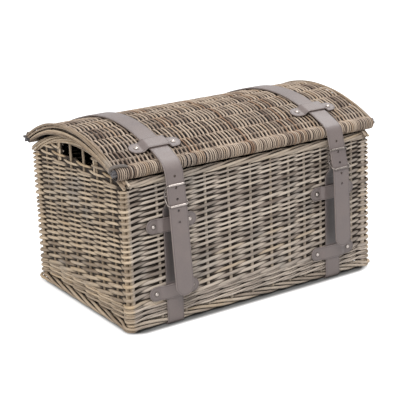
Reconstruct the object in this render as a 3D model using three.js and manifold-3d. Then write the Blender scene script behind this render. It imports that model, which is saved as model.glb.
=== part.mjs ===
// A willow hamper with a vaulted lid, two leather girth straps and a hand hole in each end wall.
// Millimetres, +Z up. X runs along the hamper, -Y is its front. It stands on the straps at z = 0.

import * as THREE from 'three';
import { mergeVertices } from 'three/addons/utils/BufferGeometryUtils.js';
import Module from 'manifold-3d';

const wasm = await Module();
wasm.setup();

// Clearances
const fitGap = 0.3; // between pieces that touch
const runGap = 0.5; // beside pieces that slide or turn

// Basket body
const bodyLength = 446; // outside the end walls
const bodyDepth = 288; // outside the front and back walls
const rimHeight = 228; // top of the front and back rims above the floor
const wallThick = 12;
const rimDrop = 13; // height of the plaited rim
const rimWidth = 13;
const rimRound = 5;
const postRadius = 6.5; // corner stakes
const footHeight = 12; // plaited border round the base
const footWidth = 14;
const footRound = 5;
const footCorner = 9;
const baseThick = 9;

// End walls
const archRise = 36; // crown of the end arch above its feet
const handHoleWidth = 104;
const handHoleHeight = 22; // at its middle, under the arched rim
const stakeRadius = 2.6;

// Lid
const lidOverhang = 8; // past each end wall
const lidThick = 9;
const lidShoulder = 5; // panel edge above the middle of the edge roll
const rollRadius = 9; // wrapped roll along the front and back edges
const rollInset = 5; // middle of the roll behind the wall's outside face
const bandWidth = 14; // rod bundle under each end of the lid
const bandHeight = 9.2; // of the bundle at the crown
const bandClear = 1.5; // from the bundle to the arch below it

// Weave
const weaveDepth = 4.5; // of the relief, from a rod that passes over a stake to one that passes under
const stakePitch = 38; // along the front and back walls
const endStakePitch = 41; // along the end walls
const waleHeight = 20; // thick rows at the foot of the walls
const waleRows = 3;
const lowerShare = 0.6; // of the wall above the wale, woven with the lower set of rods
const lowerRows = 12;
const upperRows = 9;
const rowTaper = 0.62; // top row of a set against its lowest, because rods thin towards their tips
const lidStakePitch = 32; // from front to back
const lidWeavers = 142; // side by side along the lid

// Hinge loops
const loopInset = 128; // outer loops from the ends of the body
const loopThick = 3;
const loopWidth = 5;

// Straps
const strapWidth = 30; // over the lid
const girthWidth = 28; // under the base
const strapThick = 2.5;
const strapInset = 75.5; // middle of each strap from the end of the body
const strapTurn = 6.5; // bend of the strap's middle round the foot
const strapSplice = 150; // where the two straps meet on the back wall, under a keeper
const holeRadius = 2;
const holePitch = 16.5;
const holesBelow = 3; // strap holes under the one in use

// Keepers and rivets
const keeperLength = 84;
const keeperWidth = 22;
const keeperThick = 2.2;
const keeperRamp = 9; // length of the slope from the wall to the top of the strap
const rivetSpan = 61;
const rivetRadius = 2;
const rivetHead = 4.2;
const rivetDome = 1.8;
const washerRadius = 5.5;
const washerThick = 1.2;

// Buckles
const wireRadius = 1.6;
const buckleHeight = 30; // between the middles of the top and bottom bars
const buckleCorner = 3;
const buckleDrop = 27.5; // centre bar under the top of the rim
const chapeThick = 2;
const prongWidth = 4;
const prongRise = 10.5; // hole in use above the centre bar

// What differs between the two straps, as they hang in use
const leftBow = 29; // bend over the lid's edge
const rightBow = 16;
const leftTail = 129; // free end under the buckle
const rightTail = 121;
const leftUpperKeeper = 45.5; // below the centre bar
const rightUpperKeeper = 55.5;
const leftLowerKeeper = 53; // above the floor
const rightLowerKeeper = 46;
const leftLidKeeper = 35; // behind the front wall's face
const rightLidKeeper = 46;

// Facets
const rollSides = 20;
const pinSides = 10;
const wireSides = 6;
const wireSteps = 48;
const arcSteps = 20;
const cornerSteps = 4;
const bevelSteps = 3;
const bendSteps = 6;
const leadSteps = 10;
const prongSteps = 8;

// Materials
const willow = new THREE.MeshStandardMaterial({ color: 0x8b7a69, roughness: 0.75, metalness: 0 });
const willowRod = new THREE.MeshStandardMaterial({ color: 0x9c8d7b, roughness: 0.7, metalness: 0 });
const leather = new THREE.MeshStandardMaterial({ color: 0x877c79, roughness: 0.5, metalness: 0 });
const steel = new THREE.MeshStandardMaterial({ color: 0xc9c6c2, roughness: 0.25, metalness: 1 });

// Levels and faces that follow from the sizes above
const halfLength = bodyLength / 2;
const halfDepth = bodyDepth / 2;
const footBottom = strapThick + fitGap;
const footTop = footBottom + footHeight;
const wallBottom = footTop + fitGap;
const rimBottom = rimHeight - rimDrop;
const wallTop = rimBottom - fitGap; // of the front and back walls
const postSpan = Math.max(2 * postRadius, rimWidth) + fitGap; // room for a corner at each end of a wall
const buckleLevel = rimHeight - buckleDrop;
const strapPlace = halfLength - strapInset;
const loopPlaces = [loopInset - halfLength, 0, halfLength - loopInset];
const handHoleStakes = [endStakePitch / 2, -endStakePitch / 2]; // wall stakes that cross the hand hole

// The end arch is part of a circle whose feet stand at rim height on the outside faces
const archRadius = (halfDepth ** 2 + archRise ** 2) / (2 * archRise);
const archMiddle = rimHeight + archRise - archRadius;
const archInner = archRadius - rimDrop;
const archFoot = archMiddle + Math.sqrt(archInner ** 2 - halfDepth ** 2);
const handHoleSill = archMiddle + archInner - handHoleHeight;

// The lid's edge rolls rest on the end arches
const rollPlace = halfDepth - rollInset;
const rollHeight = archMiddle + Math.sqrt((archRadius + rollRadius + fitGap) ** 2 - rollPlace ** 2);
const lidHalf = halfLength + lidOverhang;

// The lid panel is part of a circle through its crown and the shoulders over the rolls
const lidCrown = rimHeight + archRise + bandClear + bandHeight + fitGap + lidThick;
const lidRise = lidCrown - rollHeight - lidShoulder;
const lidRadius = (rollPlace ** 2 + lidRise ** 2) / (2 * lidRise);
const lidMiddle = lidCrown - lidRadius;
const rollAngle = Math.atan2(rollPlace, rollHeight - lidMiddle);
const rollOrbit = Math.hypot(rollPlace, rollHeight - lidMiddle);
const panelAngle = rollAngle - (rollRadius + fitGap) / rollOrbit;

// The strap's underside clears the crown and lies round the edge rolls
const strapCrown = lidCrown + runGap;
const strapWrap = rollRadius + fitGap;
const strapMiddle = ((strapCrown - strapWrap) ** 2 - rollPlace ** 2 - rollHeight ** 2)
  / (2 * (strapCrown - strapWrap - rollHeight));
const strapRadius = strapCrown - strapMiddle;
const strapCrest = Math.atan2(rollPlace, rollHeight - strapMiddle);
const strapLine = halfDepth + runGap + strapThick / 2; // middle of the strap on the walls
const wrapRadius = strapWrap + strapThick / 2;

// Each strap's bend, its leans out from the wall in degrees, its free end and its keepers' places
const sides = [
  { name: 'left', place: -strapPlace, bow: leftBow, dropLean: 8, tailLean: 4.5, tailLength: leftTail,
    upperKeeper: buckleLevel - leftUpperKeeper, lowerKeeper: leftLowerKeeper,
    lidKeeper: halfDepth - leftLidKeeper },
  { name: 'right', place: strapPlace, bow: rightBow, dropLean: 15, tailLean: 2.5, tailLength: rightTail,
    upperKeeper: buckleLevel - rightUpperKeeper, lowerKeeper: rightLowerKeeper,
    lidKeeper: halfDepth - rightLidKeeper },
];

// Solids

function toSolid(geometry) {
  const bare = geometry.index ? geometry.toNonIndexed() : geometry.clone();
  bare.deleteAttribute('normal');
  bare.deleteAttribute('uv');
  const merged = mergeVertices(bare, 1e-4);
  return new wasm.Manifold(new wasm.Mesh({
    numProp: 3,
    vertProperties: merged.attributes.position.array,
    triVerts: new Uint32Array(merged.index.array),
  }));
}

function toGeometry(solid) {
  const mesh = solid.asOriginal().simplify().getMesh(); // with flat faces in as few triangles as they need
  const geometry = new THREE.BufferGeometry();
  geometry.setAttribute('position', new THREE.BufferAttribute(mesh.vertProperties, mesh.numProp));
  geometry.setIndex(new THREE.BufferAttribute(mesh.triVerts, 1));
  return geometry;
}

function cut(geometry, ...tools) {
  return toGeometry(tools.reduce((solid, tool) => solid.subtract(toSolid(tool)), toSolid(geometry)));
}

function join(...geometries) {
  return toGeometry(geometries.map(toSolid).reduce((a, b) => a.add(b)));
}

function common(a, b) {
  return toGeometry(toSolid(a).intersect(toSolid(b)));
}

// Prisms: an outline in YZ pushed along X, in XZ pushed along Y, or in XY pushed along Z

function extrude(shape, depth, bevel = 0) {
  return new THREE.ExtrudeGeometry(shape, {
    depth: depth - 2 * bevel,
    bevelEnabled: bevel > 0,
    bevelThickness: bevel,
    bevelSize: bevel,
    bevelSegments: bevelSteps,
  }).translate(0, 0, bevel);
}

function prismX(shape, from, to) {
  const turn = new THREE.Matrix4().makeBasis(
    new THREE.Vector3(0, 1, 0), new THREE.Vector3(0, 0, 1), new THREE.Vector3(1, 0, 0));
  return extrude(shape, to - from).applyMatrix4(turn).translate(from, 0, 0);
}

function prismY(shape, from, to) {
  const turn = new THREE.Matrix4().makeBasis(
    new THREE.Vector3(1, 0, 0), new THREE.Vector3(0, 0, 1), new THREE.Vector3(0, -1, 0));
  return extrude(shape, to - from).applyMatrix4(turn).translate(0, to, 0);
}

function prismZ(shape, from, to, bevel = 0) {
  return extrude(shape, to - from, bevel).translate(0, 0, from);
}

function rodX(radius, from, to, facets = pinSides) {
  const rod = new THREE.CylinderGeometry(radius, radius, to - from, facets);
  return rod.rotateZ(Math.PI / 2).translate((from + to) / 2, 0, 0);
}

function rodZ(radius, from, to, facets = pinSides) {
  const rod = new THREE.CylinderGeometry(radius, radius, to - from, facets);
  return rod.rotateX(Math.PI / 2).translate(0, 0, (from + to) / 2);
}

// Outlines

function rectangle(x0, y0, x1, y1) {
  return outline([[x0, y0], [x1, y0], [x1, y1], [x0, y1]].map(([x, y]) => new THREE.Vector2(x, y)));
}

// Outlines and their holes run anticlockwise
function outline(points) {
  return new THREE.Shape(THREE.ShapeUtils.isClockWise(points) ? points.toReversed() : points);
}

function roundedRectangle(x0, y0, x1, y1, radius) {
  const right = Math.PI / 2;
  const quarter = (x, y, turn) => arc(x, y, radius, turn * right, (turn + 1) * right, cornerSteps);
  return outline([
    ...quarter(x1 - radius, y1 - radius, 0),
    ...quarter(x1 - radius, y0 + radius, 1),
    ...quarter(x0 + radius, y0 + radius, 2),
    ...quarter(x0 + radius, y1 - radius, 3),
  ]);
}

function circle(across, up, radius, start = 0) {
  return outline(arc(across, up, radius, start, start + 2 * Math.PI, pinSides).slice(1));
}

function annulus(outer, inner) {
  const ring = circle(0, 0, outer);
  ring.holes.push(circle(0, 0, inner, Math.PI / pinSides));
  return ring;
}

// Points round (across, up), with angles measured from straight up towards +across
function arc(across, up, radius, from, to, steps = arcSteps) {
  return Array.from({ length: steps + 1 }, (_, i) => {
    const angle = from + (to - from) * i / steps;
    return new THREE.Vector2(across + radius * Math.sin(angle), up + radius * Math.cos(angle));
  });
}

// A strip of even thickness along a line of points
function ribbon(points, thick) {
  const offset = (side) => points.map((point, i) => {
    const along = points[Math.min(i + 1, points.length - 1)].clone().sub(points[Math.max(i - 1, 0)]);
    const across = new THREE.Vector2(-along.y, along.x).normalize();
    return point.clone().addScaledVector(across, side * thick / 2);
  });
  return outline([...offset(-1), ...offset(1).reverse()]);
}

// Weave

// A woven sheet, closed by a plain face behind it. Its grid points are proud and sunk by turns, as the weavers
// pass over and under the stakes, and each square is split along its sunk corners. Its edges are all sunk.
// place gives the point of a column and a row at a height over the sheet's outer face.
function wovenSheet(columns, rows, thick, place) {
  const right = columns - 1;
  const top = rows - 1;
  const points = [];
  for (let r = 0; r < rows; r++) {
    for (let c = 0; c < columns; c++) {
      const inside = c > 0 && c < right && r > 0 && r < top;
      points.push(...place(c, r, inside && (c + r) % 2 === 1 ? 0 : -weaveDepth));
    }
  }
  for (let r = 0; r < rows; r++) points.push(...place(0, r, -thick), ...place(right, r, -thick));
  const front = (c, r) => r * columns + c;
  const back = (side, r) => rows * columns + 2 * r + side;
  const faces = [];
  for (let r = 0; r < top; r++) {
    for (let c = 0; c < right; c++) {
      const [a, b, d, e] = [front(c, r), front(c + 1, r), front(c + 1, r + 1), front(c, r + 1)];
      faces.push(...((c + r) % 2 === 1 ? [a, b, e, b, d, e] : [a, b, d, a, d, e]));
    }
    faces.push(back(0, r), back(0, r + 1), back(1, r + 1), back(0, r), back(1, r + 1), back(1, r));
    faces.push(front(0, r), front(0, r + 1), back(0, r + 1), front(0, r), back(0, r + 1), back(0, r));
    faces.push(front(right, r), back(1, r), back(1, r + 1), front(right, r), back(1, r + 1), front(right, r + 1));
  }
  for (let c = 0; c < right; c++) {
    faces.push(front(c + 1, 0), front(c, 0), back(0, 0), front(c, top), front(c + 1, top), back(0, top));
  }
  faces.push(front(right, 0), back(0, 0), back(1, 0), front(right, top), back(1, top), back(0, top));
  const geometry = new THREE.BufferGeometry();
  geometry.setAttribute('position', new THREE.Float32BufferAttribute(points, 3));
  geometry.setIndex(faces);
  return geometry;
}

// Levels between the rows of a wall, from its foot up: the wale, then two sets of rods whose rows thin upwards
function rowLevels() {
  const waleTop = wallBottom + waleHeight;
  const lowerHeight = lowerShare * (wallTop - waleTop);
  const levels = Array.from({ length: waleRows + 1 }, (_, i) => wallBottom + waleHeight * i / waleRows);
  for (const [height, rows] of [[lowerHeight, lowerRows], [wallTop - waleTop - lowerHeight, upperRows]]) {
    const first = height / (rows * (1 + rowTaper) / 2);
    for (let i = 0; i < rows; i++) {
      levels.push(levels[levels.length - 1] + first * (1 - (1 - rowTaper) * i / (rows - 1)));
    }
  }
  return levels;
}

// A wall of that weave, in its local frame: +Z out, X along it, Y up. Every rod climbs one row to the right in two
// stakes, so the grid is sheared, and it reaches past the wall's outline, which cuts it. Above wovenTop the wall is plain.
function wovenWall(half, pitch, outlineShape, wovenTop = Infinity) {
  const stakes = Math.floor(2 * half / pitch);
  const columns = [-half, ...Array.from({ length: stakes }, (_, i) => (i - (stakes - 1) / 2) * pitch), half];
  const levels = rowLevels();
  const lowest = levels[1] - levels[0];
  const highest = levels[levels.length - 1] - levels[levels.length - 2];
  const heightAt = (halfRow) => {
    const row = halfRow / 2;
    if (row <= 0) return levels[0] + row * lowest;
    if (row >= levels.length - 1) return levels[levels.length - 1] + (row - levels.length + 1) * highest;
    const under = Math.floor(row);
    return levels[under] + (row - under) * ((levels[under + 1] ?? levels[under]) - levels[under]);
  };
  const rowsAbove = Math.ceil((archMiddle + archInner - wallTop) / highest); // to the crown of an end wall
  const shear = 2 * Math.ceil(columns.length / 2); // an even number, so that every row crests on its stakes
  const rows = 2 * (levels.length + rowsAbove) + shear;
  const sheet = wovenSheet(columns.length, rows, wallThick, (c, r, height) => {
    const level = heightAt(r - shear + c);
    return [columns[c], level, level > wovenTop && height > -wallThick ? 0 : height];
  });
  return common(sheet, prismZ(outlineShape, -wallThick - runGap, runGap));
}

// Scene graph

const hamper = new THREE.Group();
const basket = new THREE.Group();
const lid = new THREE.Group();
hamper.add(basket, lid);

function piece(name, geometry, material, parent) {
  const mesh = new THREE.Mesh(geometry, material);
  mesh.name = name;
  parent.add(mesh);
  return mesh;
}

function seat(parent, x, y, z, turn) {
  const group = new THREE.Group();
  group.position.set(x, y, z);
  group.rotation.x = turn;
  parent.add(group);
  return group;
}

const frontTurn = Math.PI / 2; // local +Z becomes the front wall's outward direction
const backTurn = -Math.PI / 2;

// Base

function footBorder() {
  const x = halfLength - footRound;
  const y = halfDepth - footRound;
  const ring = roundedRectangle(-x, -y, x, y, footCorner);
  const innerX = halfLength - footWidth + footRound;
  const innerY = halfDepth - footWidth + footRound;
  ring.holes.push(roundedRectangle(-innerX, -innerY, innerX, innerY, footCorner));
  return prismZ(ring, footBottom, footTop, footRound);
}

function basePanel() {
  const x = halfLength - footWidth - fitGap;
  const y = halfDepth - footWidth - fitGap;
  const rise = (footHeight - baseThick) / 2;
  return prismZ(roundedRectangle(-x, -y, x, y, footCorner), footBottom + rise, footTop - rise);
}

piece('foot_border', footBorder(), willowRod, basket);
piece('base_panel', basePanel(), willow, basket);

// Walls

// Rivet holes through a wall or panel, as tools in its local frame: +Z out, X along it
function rivetTools(x, y) {
  return [-1, 1].map((end) => rodZ(rivetRadius + fitGap, -2 * wallThick, 2 * wallThick)
    .translate(x + end * rivetSpan / 2, y, 0));
}

function longWall(keeperHeights, notches) {
  const x = halfLength - postSpan;
  const slab = wovenWall(x, stakePitch, rectangle(-x, wallBottom, x, wallTop));
  const rivets = sides.flatMap((side) => keeperHeights(side)
    .flatMap((height) => rivetTools(side.place, height)));
  const slots = notches.map((place) => {
    const half = loopWidth / 2 + runGap;
    const bottom = wallTop - loopThick - 2 * runGap;
    return prismZ(rectangle(place - half, bottom, place + half, wallTop + runGap), -2 * wallThick, wallThick);
  });
  return cut(slab, ...rivets, ...slots);
}

const frontFace = seat(basket, 0, -halfDepth, 0, frontTurn);
piece('front_wall', longWall((side) => [side.upperKeeper, side.lowerKeeper], []), willow, frontFace);

// The back wall's local Z axis points backwards and its local Y axis points down
const backFace = seat(basket, 0, halfDepth, 0, backTurn);
const backWall = longWall(() => [strapSplice], loopPlaces).rotateZ(Math.PI);
piece('back_wall', backWall, willow, backFace);

function endWallOutline() {
  const y = halfDepth - postSpan;
  const hole = handHoleWidth / 2;
  const top = archInner - fitGap;
  const shoulder = Math.asin(y / top);
  const lip = Math.asin(hole / top);
  return outline([
    new THREE.Vector2(-y, wallBottom),
    new THREE.Vector2(y, wallBottom),
    ...arc(0, archMiddle, top, shoulder, lip, arcSteps / 2),
    new THREE.Vector2(hole, handHoleSill),
    new THREE.Vector2(-hole, handHoleSill),
    ...arc(0, archMiddle, top, -lip, -shoulder, arcSteps / 2),
  ]);
}

// The stakes of the end wall run up across the hand hole and are bent over into the arched rim
function archRim(from, to) {
  const spread = (radius) => Math.asin(halfDepth / radius);
  const band = prismX(outline([
    ...arc(0, archMiddle, archRadius, -spread(archRadius), spread(archRadius)),
    ...arc(0, archMiddle, archInner, spread(archInner), -spread(archInner)),
  ]), from, to);
  const middle = (from + to) / 2;
  const stakes = handHoleStakes.map((place) => {
    const top = archMiddle + Math.sqrt((archInner + rimDrop / 2) ** 2 - place ** 2);
    return rodZ(stakeRadius, handHoleSill + fitGap, top).translate(middle, place, 0);
  });
  return join(band, ...stakes);
}

for (const [name, hand] of [['left', -1], ['right', 1]]) {
  const rimEnds = [hand * halfLength, hand * (halfLength - rimWidth)].sort((a, b) => a - b);
  const outward = new THREE.Matrix4().makeBasis(
    new THREE.Vector3(0, hand, 0), new THREE.Vector3(0, 0, 1), new THREE.Vector3(hand, 0, 0));
  const endWall = wovenWall(halfDepth - postSpan, endStakePitch, endWallOutline(), wallTop).applyMatrix4(outward);
  piece(`${name}_end_wall`, endWall, willow, basket).position.x = hand * halfLength;
  piece(`${name}_arch_rim`, archRim(...rimEnds), willowRod, basket);
  for (const [place, side] of [['front', -1], ['back', 1]]) {
    const post = piece(`${place}_${name}_corner_post`,
      rodZ(postRadius, wallBottom, archFoot - fitGap, rollSides), willowRod, basket);
    post.position.set(hand * (halfLength - postRadius), side * (halfDepth - postRadius), 0);
  }
}

const rimHalf = halfLength - rimWidth - fitGap;
for (const [name, from] of [['front', -halfDepth], ['back', halfDepth - rimWidth]]) {
  const section = roundedRectangle(from, rimBottom, from + rimWidth, rimHeight, rimRound);
  piece(`${name}_rim`, prismX(section, -rimHalf, rimHalf), willowRod, basket);
}

// Hinge loops: each ties the lid's back roll to the back rim and passes under the rim
function hingeLoop() {
  const y0 = Math.min(halfDepth - rimWidth, rollPlace - rollRadius) - runGap;
  const y1 = rollPlace + rollRadius + runGap;
  const z0 = rimBottom - runGap;
  const z1 = rollHeight + rollRadius + runGap;
  const t = loopThick;
  const round = rimRound + runGap;
  const ring = roundedRectangle(y0 - t, z0 - t, y1 + t, z1 + t, round + t);
  ring.holes.push(roundedRectangle(y0, z0, y1, z1, round));
  return prismX(ring, -loopWidth / 2, loopWidth / 2);
}

loopPlaces.forEach((place, i) => {
  piece(`hinge_loop_${i + 1}`, hingeLoop(), willowRod, basket).position.x = place;
});

// Lid

function lidPanel() {
  const middle = lidRadius - lidThick / 2;
  const stakes = 2 * Math.floor(panelAngle * middle / lidStakePitch);
  const angles = [-panelAngle, ...Array.from({ length: stakes },
    (_, i) => (i - (stakes - 1) / 2) * lidStakePitch / middle), panelAngle];
  const weavers = Array.from({ length: lidWeavers }, (_, i) => lidHalf * ((2 * i + 1) / lidWeavers - 1));
  const columns = [-lidHalf, ...weavers, lidHalf];
  const inside = (lidRadius - lidThick) / Math.cos(lidStakePitch / middle / 2); // its flats clear the end bands
  const panel = wovenSheet(columns.length, angles.length, lidRadius - inside, (c, r, height) => [columns[c],
    (lidRadius + height) * Math.sin(angles[r]), lidMiddle + (lidRadius + height) * Math.cos(angles[r])]);
  const loopReach = Math.hypot(rollRadius + rollInset + loopThick, rollRadius + runGap + loopThick);
  const notches = loopPlaces.map((place) => {
    const half = loopWidth / 2 + runGap;
    return rodX(loopReach + runGap, place - half, place + half, rollSides)
      .translate(0, rollPlace, rollHeight);
  });
  const rivets = sides.flatMap((side) => rivetTools(side.place, 0).map((tool) => {
    const angle = lidAngle(side);
    return tool.translate(0, 0, lidRadius).rotateX(angle).translate(0, 0, lidMiddle);
  }));
  return cut(panel, ...notches, ...rivets);
}

// Slope of the lid under a side's front keeper
function lidAngle(side) {
  return Math.asin(side.lidKeeper / lidRadius);
}

function lidBand(from, to) {
  const lower = archRadius + bandClear;
  const upper = lidRadius - lidThick - fitGap;
  const y = upper * Math.sin(panelAngle);
  const spread = Math.asin(y / lower);
  return prismX(outline([
    ...arc(0, lidMiddle, upper, -panelAngle, panelAngle),
    ...arc(0, archMiddle, lower, spread, -spread),
  ]), from, to);
}

piece('lid_panel', lidPanel(), willow, lid);
piece('lid_front_roll', rodX(rollRadius, -lidHalf, lidHalf, rollSides), willowRod, lid)
  .position.set(0, -rollPlace, rollHeight);
piece('lid_hinge_roll', rodX(rollRadius, -lidHalf, lidHalf, rollSides), willowRod, lid)
  .position.set(0, rollPlace, rollHeight);
piece('lid_left_band', lidBand(-lidHalf, bandWidth - lidHalf), willowRod, lid);
piece('lid_right_band', lidBand(lidHalf - bandWidth, lidHalf), willowRod, lid);

// Keepers: leather bridges over a strap, riveted through the willow at both ends.
// Local frame: +Z out of the wall, X along the keeper.

function keeper(strapTop) {
  const low = fitGap + keeperThick / 2;
  const high = strapTop + fitGap + keeperThick / 2;
  const shoulder = strapWidth / 2 + runGap;
  const ramp = Array.from({ length: bendSteps + 1 }, (_, i) => i / bendSteps)
    .map((t) => new THREE.Vector2(shoulder + keeperRamp * (1 - t),
      low + (high - low) * t * t * (3 - 2 * t)));
  const half = [new THREE.Vector2(keeperLength / 2, low), ...ramp];
  const mirrored = half.map((p) => new THREE.Vector2(-p.x, p.y)).reverse();
  const bridge = prismY(ribbon([...half, ...mirrored], keeperThick), -keeperWidth / 2, keeperWidth / 2);
  const ends = roundedRectangle(-keeperLength / 2, -keeperWidth / 2, keeperLength / 2, keeperWidth / 2,
    keeperWidth / 2);
  const rounded = common(bridge, prismZ(ends, -keeperLength, keeperLength));
  return cut(rounded, ...rivetTools(0, 0));
}

function rivet(throughThick) {
  const under = 2 * fitGap + keeperThick;
  const inside = -throughThick - fitGap;
  const dome = arc(0, under, 1, Math.PI / 2, 0, cornerSteps)
    .map((p) => new THREE.Vector2(p.x * rivetHead, under + (p.y - under) * rivetDome));
  const profile = [
    new THREE.Vector2(0, inside - washerThick),
    new THREE.Vector2(washerRadius, inside - washerThick),
    new THREE.Vector2(washerRadius, inside),
    new THREE.Vector2(rivetRadius, inside),
    new THREE.Vector2(rivetRadius, under),
    ...dome,
  ];
  profile[profile.length - 1].x = 0;
  return new THREE.LatheGeometry(profile, pinSides).rotateX(Math.PI / 2);
}

function keeperSet(name, place, strapTop, throughThick) {
  piece(`${name}_keeper`, keeper(strapTop), leather, place);
  for (const [end, hand] of [['a', -1], ['b', 1]]) {
    const pin = piece(`${name}_rivet_${end}`, rivet(throughThick), steel, place);
    pin.position.x = hand * rivetSpan / 2;
  }
}

// How far the strap's upper face stands off the lid panel, at its highest under a keeper
function strapTopOnLid(angle) {
  const edge = keeperWidth / 2 / lidRadius;
  return Math.max(...[angle - edge, angle + edge].map((a) => {
    const rise = (lidMiddle - strapMiddle) * Math.cos(a);
    const aside = (lidMiddle - strapMiddle) * Math.sin(a);
    const reach = Math.sqrt((strapRadius + strapThick) ** 2 - aside ** 2);
    return (reach - rise) / Math.cos(a - angle) - lidRadius;
  }));
}

const strapTopOnWall = runGap + strapThick;
for (const side of sides) {
  const onWall = (height) => seat(basket, side.place, -halfDepth, height, frontTurn);
  keeperSet(`${side.name}_upper`, onWall(side.upperKeeper), strapTopOnWall, wallThick);
  keeperSet(`${side.name}_lower`, onWall(side.lowerKeeper), strapTopOnWall, wallThick);
  const onBack = seat(basket, side.place, halfDepth, strapSplice, backTurn);
  keeperSet(`${side.name}_back`, onBack, strapTopOnWall, wallThick);
  const angle = lidAngle(side);
  const onLid = seat(lid, side.place, -lidRadius * Math.sin(angle),
    lidMiddle + lidRadius * Math.cos(angle), angle);
  keeperSet(`${side.name}_lid`, onLid, strapTopOnLid(angle), lidThick);
}

// Straps

const strapHalf = strapWidth / 2;
const girthHalf = girthWidth / 2;
const barsForward = strapThick / 2 + fitGap + wireRadius; // top and bottom bars in front of the strap
const eyeInner = wireRadius + fitGap;
const eyeOuter = eyeInner + chapeThick;
const barBehind = strapThick / 2 + fitGap + eyeOuter; // centre bar behind the strap
const dropBelow = buckleHeight / 2 + 2 * wireRadius + runGap; // end of the drop under the centre bar

// How a side's strap hangs: it bends from the slope of the lid over the front roll, then runs straight
// down at its lean. Points on the straight run are given by their place out from it and down from the bar.
function dropRun(side) {
  const lean = THREE.MathUtils.degToRad(side.dropLean);
  const leave = Math.PI / 2 - lean;
  const bow = Math.max(side.bow, wrapRadius);
  const bowY = -rollPlace + (bow - wrapRadius) * Math.sin(strapCrest);
  const bowZ = rollHeight - (bow - wrapRadius) * Math.cos(strapCrest);
  const bend = arc(bowY, bowZ, bow, -strapCrest - fitGap / bow, -leave, arcSteps / 2);
  const end = bend[bend.length - 1];
  const reach = (end.y - buckleLevel) / Math.cos(lean);
  const at = (out, down) => new THREE.Vector2(
    end.x - out * Math.cos(lean) - (reach + down) * Math.sin(lean),
    end.y + out * Math.sin(lean) - (reach + down) * Math.cos(lean));
  return { lean, bend, at };
}

// From the buckle down the front, under the base and up the back wall
function lowerStrap(side, drop) {
  const eye = drop.at(-barBehind, 0);
  const start = new THREE.Vector2(eye.x, eye.y - (eyeInner + eyeOuter) / 2);
  const keeperTop = side.upperKeeper + keeperWidth / 2;
  const landing = new THREE.Vector2(-strapLine, (start.y + 2 * keeperTop) / 3);
  const pull = (start.y - landing.y) / 2;
  const lead = new THREE.CubicBezierCurve(start, start.clone().setY(start.y - pull),
    landing.clone().setY(landing.y + pull), landing).getPoints(leadSteps);
  const floor = strapThick / 2;
  const corner = strapLine - strapTurn;
  const front = arc(-corner, floor + strapTurn, strapTurn, -Math.PI / 2, -Math.PI, bendSteps);
  const back = arc(corner, floor + strapTurn, strapTurn, Math.PI, Math.PI / 2, bendSteps);
  const path = [...lead, ...front, ...back, new THREE.Vector2(strapLine, strapSplice - fitGap)];
  const strip = prismX(ribbon(path, strapThick), -girthHalf, girthHalf);
  const loop = prismX(annulus(eyeOuter, eyeInner), -girthHalf, girthHalf).translate(0, eye.x, eye.y);
  const bar = rodX(eyeInner, -strapWidth, strapWidth).translate(0, eye.x, eye.y);
  const slotHalf = prongWidth / 2 + runGap;
  const slot = rodX(eyeOuter + runGap, -slotHalf, slotHalf).translate(0, eye.x, eye.y);
  return cut(join(strip, loop), bar, slot);
}

// Up the back wall and round the hinge roll to the lid
function backStrap() {
  const start = strapCrest + fitGap / wrapRadius;
  const wrap = arc(rollPlace, rollHeight, wrapRadius, start, Math.PI / 2, bendSteps);
  const path = [
    new THREE.Vector2(strapLine, strapSplice),
    new THREE.Vector2(strapLine, rimBottom),
    ...wrap.reverse(),
  ];
  return prismX(ribbon(path, strapThick), -strapHalf, strapHalf);
}

function lidStrap() {
  const path = arc(0, strapMiddle, strapRadius + strapThick / 2, -strapCrest, strapCrest);
  return prismX(ribbon(path, strapThick), -strapHalf, strapHalf);
}

// Places of the strap's holes, measured down from the centre bar
const holePlaces = Array.from({ length: holesBelow + 2 }, (_, i) => (i - 1) * holePitch - prongRise);

// From the front roll through the buckle
function strapDrop(drop) {
  const path = [...drop.bend, drop.at(0, dropBelow)];
  const strip = prismX(ribbon(path, strapThick), -strapHalf, strapHalf);
  const holes = holePlaces.filter((place) => place < dropBelow).map((place) => {
    const centre = drop.at(0, place);
    return rodZ(holeRadius, -strapWidth, strapWidth).rotateX(Math.PI / 2 - drop.lean)
      .translate(0, centre.x, centre.y);
  });
  return cut(strip, ...holes);
}

// The free end under the buckle, in its own frame: the origin is at its top, -Z runs down it
function strapTail(length) {
  const end = outline([
    new THREE.Vector2(-strapHalf, -fitGap),
    new THREE.Vector2(strapHalf, -fitGap),
    ...arc(0, strapHalf - length, strapHalf, Math.PI / 2, 1.5 * Math.PI, arcSteps / 2),
  ]);
  const holes = holePlaces.filter((place) => place > dropBelow);
  end.holes.push(...holes.map((place) => circle(0, dropBelow - place, holeRadius)));
  return prismY(end, -strapThick / 2, strapThick / 2);
}

// Buckles: a bent wire frame with a centre bar, in a frame whose origin is the strap's middle at the bar

function buckleFrame() {
  const x = strapHalf + runGap + Math.max(buckleCorner, wireRadius);
  const z = buckleHeight / 2;
  const flat = roundedRectangle(-x, -z, x, z, buckleCorner).getSpacedPoints(wireSteps).slice(1);
  const bent = flat.map((p) => {
    const share = (p.y / z) ** 2; // 0 at the centre bar, 1 at the top and bottom bars
    return new THREE.Vector3(p.x, barBehind - (barBehind + barsForward) * share, p.y);
  });
  const curve = new THREE.CatmullRomCurve3(bent, true);
  const wire = new THREE.TubeGeometry(curve, wireSteps, wireRadius, wireSides, true);
  const bar = rodX(wireRadius, -x, x).translate(0, barBehind, 0);
  return join(wire, bar);
}

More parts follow.
